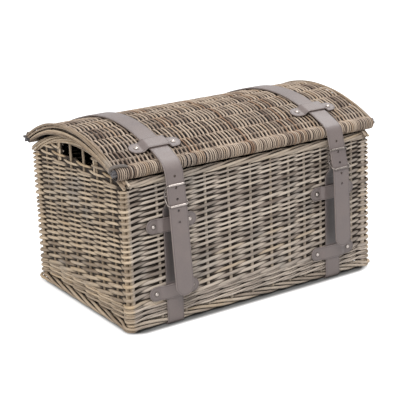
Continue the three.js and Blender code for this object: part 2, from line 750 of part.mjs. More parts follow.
// The prong turns on the centre bar and its tip stands in the strap's hole
function prong() {
  const eye = prismX(annulus(eyeInner + chapeThick, eyeInner), -prongWidth / 2, prongWidth / 2);
  const arm = [[0, eyeInner + fitGap], [0, prongRise - barBehind], [-barBehind / 2, prongRise],
    [-barBehind, prongRise]].map(([y, z]) => new THREE.Vector2(y, z));
  const curve = new THREE.SplineCurve(arm).getPoints(prongSteps);
  const blade = prismX(ribbon(curve, 2 * holeRadius - 2 * runGap), -holeRadius / 2, holeRadius / 2);
  const bar = rodX(eyeInner, -prongWidth, prongWidth);
  return cut(join(eye, blade), bar);
}

for (const side of sides) {
  const drop = dropRun(side);
  const { name, place } = side;
  piece(`${name}_lower_strap`, lowerStrap(side, drop), leather, basket).position.x = place;
  piece(`${name}_back_strap`, backStrap(), leather, basket).position.x = place;
  piece(`${name}_lid_strap`, lidStrap(), leather, lid).position.x = place;
  piece(`${name}_strap_drop`, strapDrop(drop), leather, lid).position.x = place;
  const tailTop = drop.at(0, dropBelow);
  const tail = piece(`${name}_strap_tail`, strapTail(side.tailLength), leather, lid);
  tail.position.set(place, tailTop.x, tailTop.y);
  tail.rotation.x = -THREE.MathUtils.degToRad(side.tailLean);
  const middle = drop.at(0, 0);
  const buckle = seat(basket, place, middle.x, middle.y, -drop.lean);
  piece(`${name}_buckle_frame`, buckleFrame(), steel, buckle);
  piece(`${name}_buckle_prong`, prong(), steel, buckle).position.y = barBehind;
}

// The frame's origin lies under the middle of the whole outline, with the hanging straps
hamper.updateMatrixWorld(true);
const reach = new THREE.Box3().setFromObject(hamper);
const part = new THREE.Group();
hamper.position.y = -(reach.min.y + reach.max.y) / 2;
part.add(hamper);

export default part;
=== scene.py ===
import math

import bmesh
import bpy
import numpy as np
from mathutils import Matrix, Vector


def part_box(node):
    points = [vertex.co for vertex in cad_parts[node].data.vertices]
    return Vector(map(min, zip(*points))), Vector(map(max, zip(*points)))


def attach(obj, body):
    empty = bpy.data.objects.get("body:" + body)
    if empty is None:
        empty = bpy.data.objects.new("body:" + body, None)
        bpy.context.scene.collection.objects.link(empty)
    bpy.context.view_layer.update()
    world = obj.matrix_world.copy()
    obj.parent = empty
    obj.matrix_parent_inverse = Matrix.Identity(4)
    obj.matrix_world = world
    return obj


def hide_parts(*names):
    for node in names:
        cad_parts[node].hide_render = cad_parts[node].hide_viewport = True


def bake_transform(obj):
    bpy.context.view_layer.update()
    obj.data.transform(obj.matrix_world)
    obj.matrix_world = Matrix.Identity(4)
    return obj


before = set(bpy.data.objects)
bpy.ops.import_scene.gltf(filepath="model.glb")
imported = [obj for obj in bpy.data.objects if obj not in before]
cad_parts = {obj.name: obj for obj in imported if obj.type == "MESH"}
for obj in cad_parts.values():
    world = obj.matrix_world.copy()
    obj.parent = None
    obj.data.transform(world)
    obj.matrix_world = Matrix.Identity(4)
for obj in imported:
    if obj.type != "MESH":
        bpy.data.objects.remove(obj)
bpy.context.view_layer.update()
scene = bpy.context.scene
scene.view_settings.view_transform = "Standard"

mm = 0.001  # sizes below are in millimetres, measured from the middle of the basket
quarter = math.pi / 2


# Measures of the CAD nodes

def nodeBox(node):
    return [np.array(corner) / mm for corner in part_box(node)]


wallLow, wallHigh = nodeBox("front_wall")
backHigh = nodeBox("back_wall")[1]
bodyShift = (wallLow[1] + backHigh[1]) / 2
halfDepth = (backHigh[1] - wallLow[1]) / 2
halfLength = nodeBox("right_end_wall")[1][0]
wallThick = wallHigh[1] - wallLow[1]
wallBottom = wallLow[2]
rimLow, rimHigh = nodeBox("front_rim")
rimBottom, rimTop = rimLow[2], rimHigh[2]
rimDrop = rimTop - rimBottom
rimMiddle = (rimBottom + rimTop) / 2
rimHalf = rimHigh[0]
rimLine = halfDepth - (rimHigh[1] - rimLow[1]) / 2
archLine = halfLength - (rimHigh[1] - rimLow[1]) / 2
footBottom, footTop = (corner[2] for corner in nodeBox("foot_border"))
footMiddle = (footBottom + footTop) / 2


def bodyBox(node):
    return [corner - (0, bodyShift, 0) for corner in nodeBox(node)]


baseLow, baseHigh = bodyBox("base_panel")
baseLevel = (baseLow[2] + baseHigh[2]) / 2
postTop = nodeBox("front_left_corner_post")[1][2]
archCrown = nodeBox("left_arch_rim")[1][2]
archRise = archCrown - rimTop
archRadius = (halfDepth ** 2 + archRise ** 2) / (2 * archRise)
archMiddle = archCrown - archRadius
archInner = archRadius - rimDrop
archCore = (archRadius + archInner) / 2

lidShape = {"thick": 9.0, "shoulder": 5.0}
lidHalf, lidCrown = nodeBox("lid_panel")[1][[0, 2]]
rollLow, rollHigh = nodeBox("lid_hinge_roll")
rollRadius = (rollHigh[2] - rollLow[2]) / 2
rollPlace = (rollLow[1] + rollHigh[1]) / 2 - bodyShift
rollHeight = (rollLow[2] + rollHigh[2]) / 2
lidRise = lidCrown - rollHeight - lidShape["shoulder"]
lidRadius = (rollPlace ** 2 + lidRise ** 2) / (2 * lidRise)
lidMiddle = lidCrown - lidRadius
lidSkin = lidRadius - lidShape["thick"] / 2  # middle of the woven panel


# Points and paths

def toFrame(points):
    return (np.asarray(points, dtype=float) + (0, bodyShift, 0)) * mm


def track(x, y, z):
    # points from three coordinates, of which some may be one number
    return np.column_stack(np.broadcast_arrays(x, y, z))


def smoothStep(low, high, value):
    t = np.clip((np.asarray(value, dtype=float) - low) / (high - low), 0, 1)
    return t * t * (3 - 2 * t)


def spline(points, steps):
    # Catmull-Rom through the points, with the ends kept
    points = np.asarray(points, dtype=float)
    padded = np.vstack([2 * points[0] - points[1], points, 2 * points[-1] - points[-2]])
    t = np.linspace(0, 1, steps, endpoint=False)[:, None]
    rows = [0.5 * (2 * b + (c - a) * t + (2 * a - 5 * b + 4 * c - d) * t ** 2 + (3 * b - a - 3 * c + d) * t ** 3)
            for a, b, c, d in zip(padded, padded[1:], padded[2:], padded[3:])]
    return np.vstack(rows + [points[-1:]])


def arcPoints(across, up, radius, start, end, steps):
    # angles in radians from straight up, towards +across
    angle = np.linspace(start, end, steps)
    return np.stack([across + radius * np.sin(angle), up + radius * np.cos(angle)], -1)


def roundedRing(low, high, radius, steps, extra=(0, 0)):
    # clockwise round a box from its top, with extra points on the upright and on the level sides
    across, up = ((low[k] + radius, high[k] - radius) for k in (0, 1))
    arcs = [arcPoints(across[right], up[top], radius, turn * quarter, (turn + 1) * quarter, steps)
            for turn, (right, top) in enumerate([(1, 1), (1, 0), (0, 0), (0, 1)])]
    rows = []
    for turn, arc in enumerate(arcs):
        rows += [arc, np.linspace(arc[-1], arcs[(turn + 1) % 4][0], extra[turn % 2] + 2)[1:-1]]
    return np.vstack(rows)


def unit(rows):
    return rows / np.linalg.norm(rows, axis=1)[:, None]


def runLengths(points):
    return np.concatenate([[0], np.cumsum(np.linalg.norm(np.diff(points, axis=0), axis=1))])


def evenPath(points, count=None):
    # the same run in even steps: a number of points, or the steps of a strap
    points = np.asarray(points, dtype=float)
    length = runLengths(points)
    even = np.linspace(0, length[-1], count or max(int(length[-1] / straps["step"]), 2) + 1)
    return np.column_stack([np.interp(even, length, points[:, k]) for k in (0, 1)])


# Node helpers

def fill(tree, sockets, values):
    # a node stands for its first output
    for key, value in dict(values).items():
        if isinstance(value, bpy.types.Node):
            value = value.outputs[0]
        if isinstance(value, bpy.types.NodeSocket):
            tree.links.new(value, sockets[key])
        else:
            sockets[key].default_value = value


def addNode(tree, kind, values=(), **settings):
    made = tree.nodes.new(kind)
    for name, value in settings.items():
        setattr(made, name, value)
    fill(tree, made.inputs, values)
    return made


def addMath(tree, operation, *values, clamp=False):
    return addNode(tree, "ShaderNodeMath", enumerate(values), operation=operation, use_clamp=clamp)


def addVector(tree, operation, *values):
    return addNode(tree, "ShaderNodeVectorMath", enumerate(values), operation=operation)


def addXyz(tree, *values):
    return addNode(tree, "ShaderNodeCombineXYZ", enumerate(values))


def addMix(tree, blend, factor, a, b):
    mix = addNode(tree, "ShaderNodeMix", {0: factor, 6: a, 7: b}, data_type="RGBA", blend_type=blend)
    return mix.outputs[2]


def addLayers(tree, colour, layers):
    for blend, factor, layer in layers:
        colour = addMix(tree, blend, factor, colour, layer)
    return colour


def addRange(tree, value, fromLow, fromHigh, toLow=0.0, toHigh=1.0, smooth=True):
    return addNode(tree, "ShaderNodeMapRange", enumerate([value, fromLow, fromHigh, toLow, toHigh]),
                   interpolation_type="SMOOTHSTEP" if smooth else "LINEAR")


def addNoise(tree, scale, detail, roughness=0.5, **values):
    values.update(Scale=scale, Detail=detail, Roughness=roughness)
    return addNode(tree, "ShaderNodeTexNoise", values, noise_dimensions="4D" if "W" in values else "3D")


def addPlace(tree):
    return addNode(tree, "ShaderNodeTexCoord").outputs["Object"]


def addAttribute(tree, name, output="Fac"):
    return addNode(tree, "ShaderNodeAttribute", attribute_name=name).outputs[output]


def addGeometry(tree, kind, **values):
    return addNode(tree, "GeometryNode" + kind, values)


def addNamed(tree, name, kind):
    return addNode(tree, "GeometryNodeInputNamedAttribute", {"Name": name}, data_type=kind)


def addStored(tree, geometry, name, value, kind):
    return addNode(tree, "GeometryNodeStoreNamedAttribute", {"Geometry": geometry, "Name": name, "Value": value},
                   data_type=kind, domain="POINT")


def addPainted(tree, geometry, material):
    whole = addGeometry(tree, "RealizeInstances", Geometry=geometry)
    return addGeometry(tree, "SetMaterial", Geometry=whole, Material=material)


def newGroup(name, kind, inputs, outputs):
    # sockets are listed by kind, and a geometry comes first
    tree = bpy.data.node_groups.new(name, kind + "NodeTree")
    for way, kinds in (("INPUT", inputs), ("OUTPUT", outputs)):
        for socketKind, sockets in kinds.items():
            for socket in sockets:
                tree.interface.new_socket(socket, in_out=way, socket_type="NodeSocket" + socketKind)
    return tree, addNode(tree, "NodeGroupInput").outputs, addNode(tree, "NodeGroupOutput").inputs


def closeGroup(tree, result, **values):
    fill(tree, result, values)
    return tree


def rgb(*screen):
    # a colour as it is picked on screen, in 0 to 255
    shares = [value / 255 for value in screen]
    return (*(s / 12.92 if s <= 0.04045 else ((s + 0.055) / 1.055) ** 2.4 for s in shares), 1.0)


def newMaterial(name):
    material = bpy.data.materials.new(name)
    material.use_nodes = True
    return material, material.node_tree, material.node_tree.nodes["Principled BSDF"].inputs


def skinMaterial(name, group, colours, values, bump=None):
    # the group gives the colour, roughness and height; bump is a strength and a depth
    material, tree, shader = newMaterial(name)
    skin = addNode(tree, "ShaderNodeGroup", colours, node_tree=group).outputs
    values = {"Base Color": skin["Colour"], "Roughness": skin["Roughness"], **values}
    if bump:
        values["Normal"] = addNode(tree, "ShaderNodeBump", {"Height": skin["Height"], "Strength": bump[0],
                                                            "Distance": bump[1]})
    fill(tree, shader, values)
    return material


# Willow finish: an antique wash over rods that differ in tone, with shade painted into the recesses

surface = {"Color": ["Colour"], "Float": ["Roughness", "Height"]}
rodColours = ["Dark Rod", "Grey Rod", "Pale Rod", "Tan Rod", "Rust Rod", "Bloom"]
willow = {
    "toneSteps": [(0.0, 0.35), (0.3, 0.62), (0.66, 0.86), (0.9, 1.08)],  # from each rod colour to the next
    "streak": (0.42, 0.38, 0.34, 1), "bleach": (0.5, 0.47, 0.43, 1), "bump": (0.5, 0.0004), "shine": 0.35,
}


def willowSkinGroup():
    tree, source, result = newGroup("willowSkin", "Shader", {"Color": rodColours + ["Warm Wash", "Recess"]}, surface)
    tone, proud, warm = (addAttribute(tree, name) for name in ("tone", "proud", "warm"))
    grain = addAttribute(tree, "grain", "Vector")
    place = addPlace(tree)

    # streaks run along each rod: the grain vector is a unit circle and the length in centimetres
    streaks = addNoise(tree, 2.2, 5.0, 0.65, Vector=addVector(tree, "MULTIPLY", grain, (1.6, 1.6, 0.35)), W=tone)
    fibres = addNoise(tree, 3.0, 3.0, 0.6, Vector=addVector(tree, "MULTIPLY", grain, (5.0, 5.0, 0.5)))
    patches = addNoise(tree, 16.0, 3.0, 0.55, Vector=place)
    lots = addNoise(tree, 34.0, 2.0, Vector=place, W=tone)

    # rods differ, and the wash shifts each of them along its length
    shade = addMath(tree, "ADD", addMath(tree, "MULTIPLY_ADD", lots, 0.5, -0.25), tone)
    tones = [("MIX", addRange(tree, shade, *step), source[name])
             for step, name in zip(willow["toneSteps"], rodColours[1:])]
    # painted shade: the colour goes towards Recess where a rod sits deep
    recess = addMath(tree, "SUBTRACT", 1.0, addRange(tree, proud, 0.05, 0.6))
    colour = addLayers(tree, source["Dark Rod"], tones + [
        ("MULTIPLY", warm, source["Warm Wash"]),
        ("MIX", addRange(tree, patches, 0.52, 0.72, 0.0, 0.55), source["Bloom"]),
        ("MULTIPLY", addRange(tree, streaks, 0.4, 0.68, 0.0, 0.5), willow["streak"]),
        ("SCREEN", addRange(tree, fibres, 0.55, 0.8, 0.0, 0.22), willow["bleach"]),
        ("MULTIPLY", recess, source["Recess"])])
    return closeGroup(tree, result, Colour=colour, Roughness=addRange(tree, streaks, 0.3, 0.7, 0.5, 0.78),
                      Height=addMath(tree, "MULTIPLY_ADD", fibres, 0.4, streaks))


willowSkin = willowSkinGroup()


def willowMaterial(name, colours, warmWash, recess):
    values = dict(zip(rodColours, (rgb(*colour) for colour in colours)))
    values.update({"Warm Wash": (*warmWash, 1), "Recess": (*recess, 1)})
    return skinMaterial(name, willowSkin, values, {"Specular IOR Level": willow["shine"]}, willow["bump"])


wallWillow = willowMaterial(
    "wallWillow",
    [(126, 113, 103), (168, 156, 146), (203, 190, 177), (191, 174, 154), (162, 136, 114), (154, 149, 144)],
    (0.98, 0.91, 0.78), (0.08, 0.065, 0.055))
rimWillow = willowMaterial(
    "rimWillow", [(120, 106, 94), (160, 146, 133), (196, 182, 166), (182, 164, 142), (154, 126, 102), (150, 144, 137)],
    (0.97, 0.90, 0.79), (0.08, 0.065, 0.055))
lidWillow = willowMaterial(
    "lidWillow", [(112, 94, 82), (153, 135, 120), (188, 170, 152), (173, 150, 128), (144, 115, 94), (156, 145, 136)],
    (1.0, 0.94, 0.85), (0.06, 0.045, 0.04))
coreWillow = willowMaterial(
    "coreWillow", [(70, 70, 76), (84, 82, 86), (104, 100, 100), (110, 100, 92), (110, 90, 76), (84, 84, 90)],
    (1.0, 0.95, 0.9), (0.3, 0.3, 0.3))


# Rods: Geometry Nodes give every guide line a round section that swells and wanders a little

def willowRodTree():
    tree, source, result = newGroup(
        "willowRods", "Geometry", {"Geometry": ["Guides"], "Int": ["Sides"], "Material": ["Bark"],
                                   "Float": ["Wander", "Wander Scale", "Swell", "Seed"]}, {"Geometry": ["Rods"]})
    seed = source["Seed"]
    wander = addNoise(tree, source["Wander Scale"], 1.0, W=seed).outputs["Color"]
    centred = addVector(tree, "SUBTRACT", wander, (0.5, 0.5, 0.5))
    drift = addNode(tree, "ShaderNodeVectorMath", {0: centred, "Scale": source["Wander"]}, operation="SCALE")
    lines = addGeometry(tree, "MeshToCurve", Mesh=source["Guides"])
    moved = addGeometry(tree, "SetPosition", Geometry=lines, Offset=drift)
    lumps = addMath(tree, "SUBTRACT", addNoise(tree, 60.0, 2.0, W=seed), 0.5)
    swell = addMath(tree, "MULTIPLY_ADD", lumps, source["Swell"], 1.0)
    thickness = addMath(tree, "MULTIPLY", addNamed(tree, "rodRadius", "FLOAT"), swell)
    ring = addGeometry(tree, "CurvePrimitiveCircle", Resolution=source["Sides"], Radius=1.0)
    turn = addMath(tree, "MULTIPLY", addGeometry(tree, "SplineParameter"), math.tau)
    around = addXyz(tree, addMath(tree, "COSINE", turn), addMath(tree, "SINE", turn))
    section = addStored(tree, ring, "turn", around, "FLOAT_VECTOR")
    rods = addGeometry(tree, "CurveToMesh", Curve=moved, Scale=thickness,
                       **{"Profile Curve": section, "Fill Caps": True})
    turned = addNode(tree, "ShaderNodeSeparateXYZ", {0: addNamed(tree, "turn", "FLOAT_VECTOR")}).outputs
    grain = addXyz(tree, turned[0], turned[1], addNamed(tree, "along", "FLOAT"))
    marked = addStored(tree, rods, "grain", grain, "FLOAT_VECTOR")
    smooth = addGeometry(tree, "SetShadeSmooth", Geometry=marked)
    return closeGroup(tree, result, Rods=addPainted(tree, smooth, source["Bark"]))


willowRods = willowRodTree()


def addObject(name, data):
    made = bpy.data.objects.new(name, data)
    scene.collection.objects.link(made)
    return made


def newMesh(name, points, edges=(), faces=()):
    mesh = bpy.data.meshes.new(name)
    mesh.from_pydata([tuple(point) for point in points], edges, faces)
    return mesh


def bakeNodes(guide, name, group, values):
    # the evaluated result becomes a plain mesh, and the guide with its modifier goes
    modifier = guide.modifiers.new("shape", "NODES")
    modifier.node_group = group
    for socket in group.interface.items_tree:
        if socket.in_out == "INPUT" and socket.name in values:
            modifier[socket.identifier] = values[socket.name]
    bpy.context.view_layer.update()
    graph = bpy.context.evaluated_depsgraph_get()
    mesh = bpy.data.meshes.new_from_object(guide.evaluated_get(graph), preserve_all_data_layers=True, depsgraph=graph)
    old = guide.data
    bpy.data.objects.remove(guide)
    bpy.data.meshes.remove(old)
    mesh.name = name
    return addObject(name, mesh)


def setAttribute(mesh, name, values):
    layer = mesh.attributes.get(name) or mesh.attributes.new(name, "FLOAT", "POINT")
    layer.data.foreach_set("value", np.broadcast_to(values, len(mesh.vertices)).astype(np.float32))


def vertexValues(mesh, name):
    values = np.empty(len(mesh.vertices) * 3)
    mesh.vertices.foreach_get(name, values)
    return values.reshape(-1, 3)


def vertexPlaces(mesh):
    return vertexValues(mesh, "co") / mm - (0, bodyShift, 0)


def rod(points, radius, tone):
    return np.asarray(points, dtype=float), radius, tone


def rodPiece(name, rods, material, proud, warm=0.0, sides=8, wander=1.2, swell=0.22, seed=1.0):
    # one mesh for a set of rods; proud says how far each point stands out of the recesses, from 0 to 1, and the skin
    # paints shade where it is low
    points, radii, tones = zip(*rods)
    counts = [len(run) for run in points]
    ends = np.cumsum(counts)
    firsts = np.setdiff1d(np.arange(ends[-1]), ends - 1)
    mesh = newMesh(name + "Guides", toFrame(np.vstack(points)), np.column_stack([firsts, firsts + 1]).tolist())
    setAttribute(mesh, "rodRadius", np.concatenate([np.broadcast_to(r, c) for r, c in zip(radii, counts)]) * mm)
    setAttribute(mesh, "tone", np.repeat(tones, counts))
    setAttribute(mesh, "along", np.concatenate([runLengths(run) / 10 + 7 * tone for run, tone in zip(points, tones)]))
    piece = bakeNodes(addObject(name + "Guides", mesh), name, willowRods,
                      {"Sides": sides, "Wander": wander * mm, "Wander Scale": 22.0, "Swell": swell, "Seed": seed,
                       "Bark": material})
    spots = np.hstack([vertexPlaces(piece.data), vertexValues(piece.data, "normal")])
    for layer, field in (("proud", proud), ("warm", warm)):
        setAttribute(piece.data, layer, np.clip(field(spots) if callable(field) else field, 0, 1))
    for spare in ("turn", "along", "rodRadius"):
        layer = piece.data.attributes.get(spare)
        if layer:
            piece.data.attributes.remove(layer)
    print(name, len(counts), "rods", len(piece.data.polygons), "faces")
    return piece


def dress(piece, body, slot, *nodes):
    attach(piece, body)
    if nodes:
        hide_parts(*nodes)


# Walls

walls = {
    "seed": 11,
    "corner": 2.5,  # bend of the weave round a corner post
    "cornerBulge": 4.4,  # the posts are thick, so the rods stand out further there
    "bulgeReach": 0.3,  # in stakes
    "cornerReach": 0.13,  # of a stake's step, either side of a corner post
    "cornerSteps": 5,
    "cornerIn": 0.2,  # a rod that ends closer to a post has no closer steps
    "cornerClear": 0.05,
    "swing": 3.3,  # how far a weaver goes in front of and behind the stakes
    "lift": 1.0,  # a weaver rides up in front and sinks behind
    "uneven": 0.3,
    "vary": 0.08,  # of a rod's thickness
    "tuck": 0.2,  # of a rod's ends past its rows, in stakes
    "stepsPerStake": 7,
    "frontStakes": [-166, -125, -84, -43, -3.5, 34, 68, 98, 130, 162, 192],
    "backPitch": 38.0,
    "endPitch": 41.0,
    "stakeRadius": 2.3,
    "stakeTaper": (1.12, 0.9),
    "waleHeight": 20.0,
    "waleRise": 7.6,  # of each rod in three stakes
    "waleRounds": 3,
    "waleRadius": 1.78,
    "waleTwist": 1.4,
    "waleFoot": 1.5,
    "waleTuck": 0.3,
    "waleDive": 0.95,  # stakes that it takes to go in behind one
    "lowerShare": 0.6,  # of the wall above the wale
    "lowerRows": 12,
    "upperRows": 9,
    "rowTaper": 0.62,  # top row of a set against its lowest
    "rodShare": 0.255,  # radius of a rod against its row, in front of a stake
    "behindShare": 0.3,  # and pressed flat behind one
    "darkDepths": (-0.5, 1.9),  # painted shade: a rod is darkest at the first depth and clear at the second
    "endShade": 0.5,
    "cornerShade": 1.8,
    "cornerLight": 0.8,  # on the corner itself
    "shadeReach": 26.0,  # from a corner post
    "postEdge": (3.0, 11.0),
    "warmRamp": (-3.0, 1.0),  # from the long walls' tint to the ends'
    "steeper": (-0.25, 0.25),  # of a rod's climb in front of a stake, on the long walls and on the ends
}
random = np.random.default_rng(walls["seed"])

pathX = halfLength - wallThick / 2
pathY = halfDepth - wallThick / 2
cornerArc = quarter * walls["corner"]
sideX = 2 * (pathX - walls["corner"])
sideY = 2 * (pathY - walls["corner"])
roundWalls = 2 * (sideX + sideY) + 4 * cornerArc
endStakes = (np.arange(6) - 2.5) * walls["endPitch"]
backStakes = (np.arange(11) - 5) * walls["backPitch"]


def aroundWalls(distance):
    # place and outward direction along the middle of the walls: front, right, back, left, as seen from outside
    distance = np.mod(np.asarray(distance, dtype=float), roundWalls)
    place = np.zeros(distance.shape + (2,))
    outward = np.zeros(distance.shape + (2,))
    local = distance
    for turn, facing in enumerate(np.array([(0, -1), (1, 0), (0, 1), (-1, 0)], dtype=float)):
        length, depth = [(sideX, pathY), (sideY, pathX)][turn % 2]
        along = np.array([-facing[1], facing[0]])
        straight = (local >= 0) & (local <= length)
        place[straight] = facing * depth + np.outer(local[straight] - length / 2, along)
        outward[straight] = facing
        bend = (local > length) & (local < length + cornerArc)
        angle = (local[bend] - length) / walls["corner"]
        swing = np.outer(np.cos(angle), facing) + np.outer(np.sin(angle), along)
        pivot = np.array([sideX, sideY]) / 2 * np.sign(facing + along)
        place[bend] = pivot + walls["corner"] * swing
        outward[bend] = swing
        local = local - length - cornerArc
    return place, outward


def stakeUnits():
    # where each stake stands along the round, and the corner posts as wide units
    units = []
    start = 0.0
    for length, stakes in [(sideX, walls["frontStakes"]), (sideY, endStakes), (sideX, backStakes), (sideY, endStakes)]:
        units += [(start + length / 2 + place,) * 2 for place in stakes]
        units.append((start + length, start + length + cornerArc))
        start += length + cornerArc
    return units


units = stakeUnits()
stakeCount = len(units)
cornerUnits = np.array([index for index, (low, high) in enumerate(units) if high > low])
laps = (-1, 0, 1, 2)
allCorners = np.concatenate([cornerUnits + lap * stakeCount for lap in laps])
knotTurns, knotPlaces = [], []
for lap in laps:
    for index, (low, high) in enumerate(units):
        wide = walls["cornerReach"] if high > low else 0.0
        knotTurns += [index - wide + lap * stakeCount, index + wide + 1e-6 + lap * stakeCount]
        knotPlaces += [low + lap * roundWalls, high + 1e-6 + lap * roundWalls]


def alongStakes(turn):
    return np.interp(turn, knotTurns, knotPlaces)


def stepsFrom(first, low, high):
    # even steps along the stakes, with closer ones round the corner posts
    reach = walls["cornerReach"]
    steps = np.linspace(low, high, int((high - low) * walls["stepsPerStake"]) + 1)
    near = allCorners - first
    for corner in near[(near > low + walls["cornerIn"]) & (near < high - walls["cornerIn"])]:
        steps = steps[np.abs(steps - corner) > reach + walls["cornerClear"]]
        steps = np.concatenate([steps, corner + np.linspace(-reach, reach, walls["cornerSteps"])])
    return np.sort(steps)


def wallRod(turn, out, height, radius, tone):
    place, outward = aroundWalls(alongStakes(turn))
    nearest = np.min(np.abs(turn[:, None] - allCorners), axis=1)
    out, height = np.broadcast_arrays(out, height, turn)[:2]
    out = out + walls["cornerBulge"] * np.exp(-(nearest / walls["bulgeReach"]) ** 2) * (out > 0)
    return rod(np.column_stack([place + outward * out[:, None], height]), radius, tone)


def vary(share):
    return random.uniform(1 - share, 1 + share)


def pickTone(low=0.05, high=0.95, spread=0.19, middle=0.48):
    # most rods are grey to pale, a few are dark, tan or rust
    return float(np.clip(random.normal(middle, spread), low, high))


def rowLevels():
    # levels between the rows of the two sets of rods, whose rows thin upwards
    foot = wallBottom + walls["waleHeight"]
    tall = rimBottom - foot
    for share, rows in [(walls["lowerShare"], walls["lowerRows"]), (1 - walls["lowerShare"], walls["upperRows"])]:
        pitch = np.linspace(1, walls["rowTaper"], rows)
        levels = foot + np.concatenate([[0], np.cumsum(pitch)]) * tall * share / pitch.sum()
        yield levels
        foot = levels[-1]


def frenchRand(levels):
    # one rod for each stake, each in front of one and behind one, all climbing side by side to the right
    rounds = len(levels) - 1
    crests = (levels[1:] + levels[:-1]) / 2
    knots = np.concatenate([[-1], 2 * np.arange(rounds), [2 * rounds - 1]])
    heights = np.concatenate([levels[:1], crests, levels[-1:]])
    for first in range(stakeCount):
        steps = stepsFrom(first, -1 - walls["tuck"], 2 * rounds - 1 + walls["tuck"])
        front = np.cos(math.pi * steps)
        row = np.interp(steps, 2 * np.arange(rounds), np.diff(levels))
        outward = aroundWalls(alongStakes(first + steps))[1]
        steeper = np.where(np.abs(outward[:, 0]) > 0.5, walls["steeper"][1], walls["steeper"][0])
        height = np.interp(steps, knots, heights) + walls["lift"] * front + random.normal(0, walls["uneven"])
        height += steeper * row * np.sin(math.pi * steps) / math.tau
        share = walls["rodShare"] + (walls["behindShare"] - walls["rodShare"]) * (0.5 - 0.5 * front) ** 2
        yield wallRod(first + steps, walls["swing"] * front, height, row * share * vary(walls["vary"]), pickTone())


def wale():
    # thicker rods in front of two stakes and behind one
    for first in range(stakeCount):
        steps = stepsFrom(first, -walls["waleTuck"], 3 * walls["waleRounds"] + walls["waleTuck"])
        gap = np.abs(np.mod(steps + 1.5, 3) - 1.5)
        behind = 0.5 + 0.5 * np.cos(math.pi * np.minimum(gap / walls["waleDive"], 1))
        out = walls["swing"] * (1 - 2 * behind) + walls["waleTwist"] * np.sin(math.tau * steps / 3)
        height = wallBottom + walls["waleFoot"] + walls["waleRise"] * steps / 3
        yield wallRod(first + steps, out, height, walls["waleRadius"] * vary(walls["vary"]), pickTone(0.25))


def wallDepth(points):
    # signed distance from the middle of the walls
    gap = np.abs(points[:, :2]) - (sideX / 2, sideY / 2)
    return np.linalg.norm(np.maximum(gap, 0), axis=1) + np.minimum(np.max(gap, axis=1), 0) - walls["corner"]


weaveShade = {"turn": -0.3, "inside": 0.8, "clear": 0.6}


def wovenProud(depth, facing, darkDepths, shaded=0.0):
    # painted shade: the outer half of a rod darkens where it goes in behind a stake, and its inner half the other way
    low, high = darkDepths
    outer = (depth - low - shaded) / (high - low)
    inner = (-depth - low) / (high - low)
    return np.where(facing > weaveShade["turn"], outer, weaveShade["inside"] * inner) * weaveShade["clear"]


def wallProud(points):
    # painted shade behind the stakes, on the end walls and beside the corner posts, with a painted highlight on the
    # corners themselves
    gap = np.abs(points[:, :2]) - (pathX, pathY)
    onEnd = gap[:, 0] > gap[:, 1]
    facing = np.where(onEnd, points[:, 3] * np.sign(points[:, 0]), points[:, 4] * np.sign(points[:, 1]))
    fromCorner = -np.min(gap, axis=1)
    shaded = walls["endShade"] * onEnd + walls["cornerShade"] * np.exp(-(fromCorner / walls["shadeReach"]) ** 2)
    shaded = (shaded + walls["cornerLight"]) * smoothStep(*walls["postEdge"], fromCorner) - walls["cornerLight"]
    return wovenProud(wallDepth(points), facing, walls["darkDepths"], shaded)


def endWarm(points):
    return smoothStep(*walls["warmRamp"], np.abs(points[:, 0]) - pathX)


lowerLevels, upperLevels = rowLevels()
dress(rodPiece("lowerWeave", frenchRand(lowerLevels), wallWillow, wallProud, endWarm, seed=1.0),
      "basket", "willow_weave", "front_wall", "back_wall")
dress(rodPiece("upperWeave", frenchRand(upperLevels), wallWillow, wallProud, endWarm, seed=2.0),
      "basket", "willow_weave", "left_end_wall", "right_end_wall")
dress(rodPiece("waleRows", wale(), wallWillow, wallProud, endWarm, seed=3.0), "basket", "willow_weave")


# Dark rods packed in the middle of every wall and of the base, so that the weave lets no light through; their
# near-black colour is painted shade

packing = {
    "pitch": 2.5, "radius": 1.5, "baseRadius": 2.0, "tone": 0.3, "out": -1.4, "holeHalf": 54.0, "holeSill": 228.0,
    "least": 4.0, "archClear": 2.0, "baseInset": 2.0, "lidInset": 3.0,
    "wall": (2.0, 3.0), "arch": (5.0, -4.0), "base": (3.0, -2.0), "lid": (9.0, -8.0),  # from the first and last level
}


def packedLevels(panel, low, high):
    return np.arange(low + packing[panel][0], high + packing[panel][1], packing["pitch"])


def packed(start, end, radius=packing["radius"]):
    return rod([start, end], radius, packing["tone"])


def archUnder(level):
    return math.sqrt(max(archInner ** 2 - (level - archMiddle) ** 2, 1.0))


def packingRods():
    x, y = pathX + packing["out"], pathY + packing["out"]
    for level in packedLevels("wall", wallBottom, rimBottom):
        for side in (-1, 1):
            yield packed((-x, side * y, level), (x, side * y, level))
            yield packed((side * x, -y, level), (side * x, y, level))
    for level in packedLevels("arch", rimBottom, archMiddle + archInner):
        reach = min(archUnder(level + packing["archClear"]), y)
        hole = packing["holeHalf"] if level > packing["holeSill"] - packing["radius"] else 0.0
        if reach - hole > packing["least"]:
            for side in (-1, 1):
                yield packed((side * x, -reach, level), (side * x, -hole, level))
                yield packed((side * x, hole, level), (side * x, reach, level))
    low, high = baseLow[0] + packing["baseInset"], baseHigh[0] - packing["baseInset"]
    for across in packedLevels("base", baseLow[1], baseHigh[1]):
        yield packed((low, across, baseLevel), (high, across, baseLevel), packing["baseRadius"])


dress(rodPiece("wallPacking", packingRods(), wallWillow, 0.0, sides=6, wander=0.0, swell=0.0), "basket", "willow_rod")


# Rows that fill the end walls up to the arches, round the hand holes

endFill = {
    "rows": [216.5, 222.5, 228.0], "sideRows": [233.5, 239.0, 244.0], "radius": 1.9, "holeHalf": 52.0,
    "edgeStake": 55.0, "edgeRadius": 2.7, "edgeFoot": 220.0, "edgeTone": 0.66, "step": 5.0, "fewest": 6,
    "inArch": 4.0, "rowInArch": 2.0, "rowShort": 1.0,  # how stakes and rows end at the arch
}


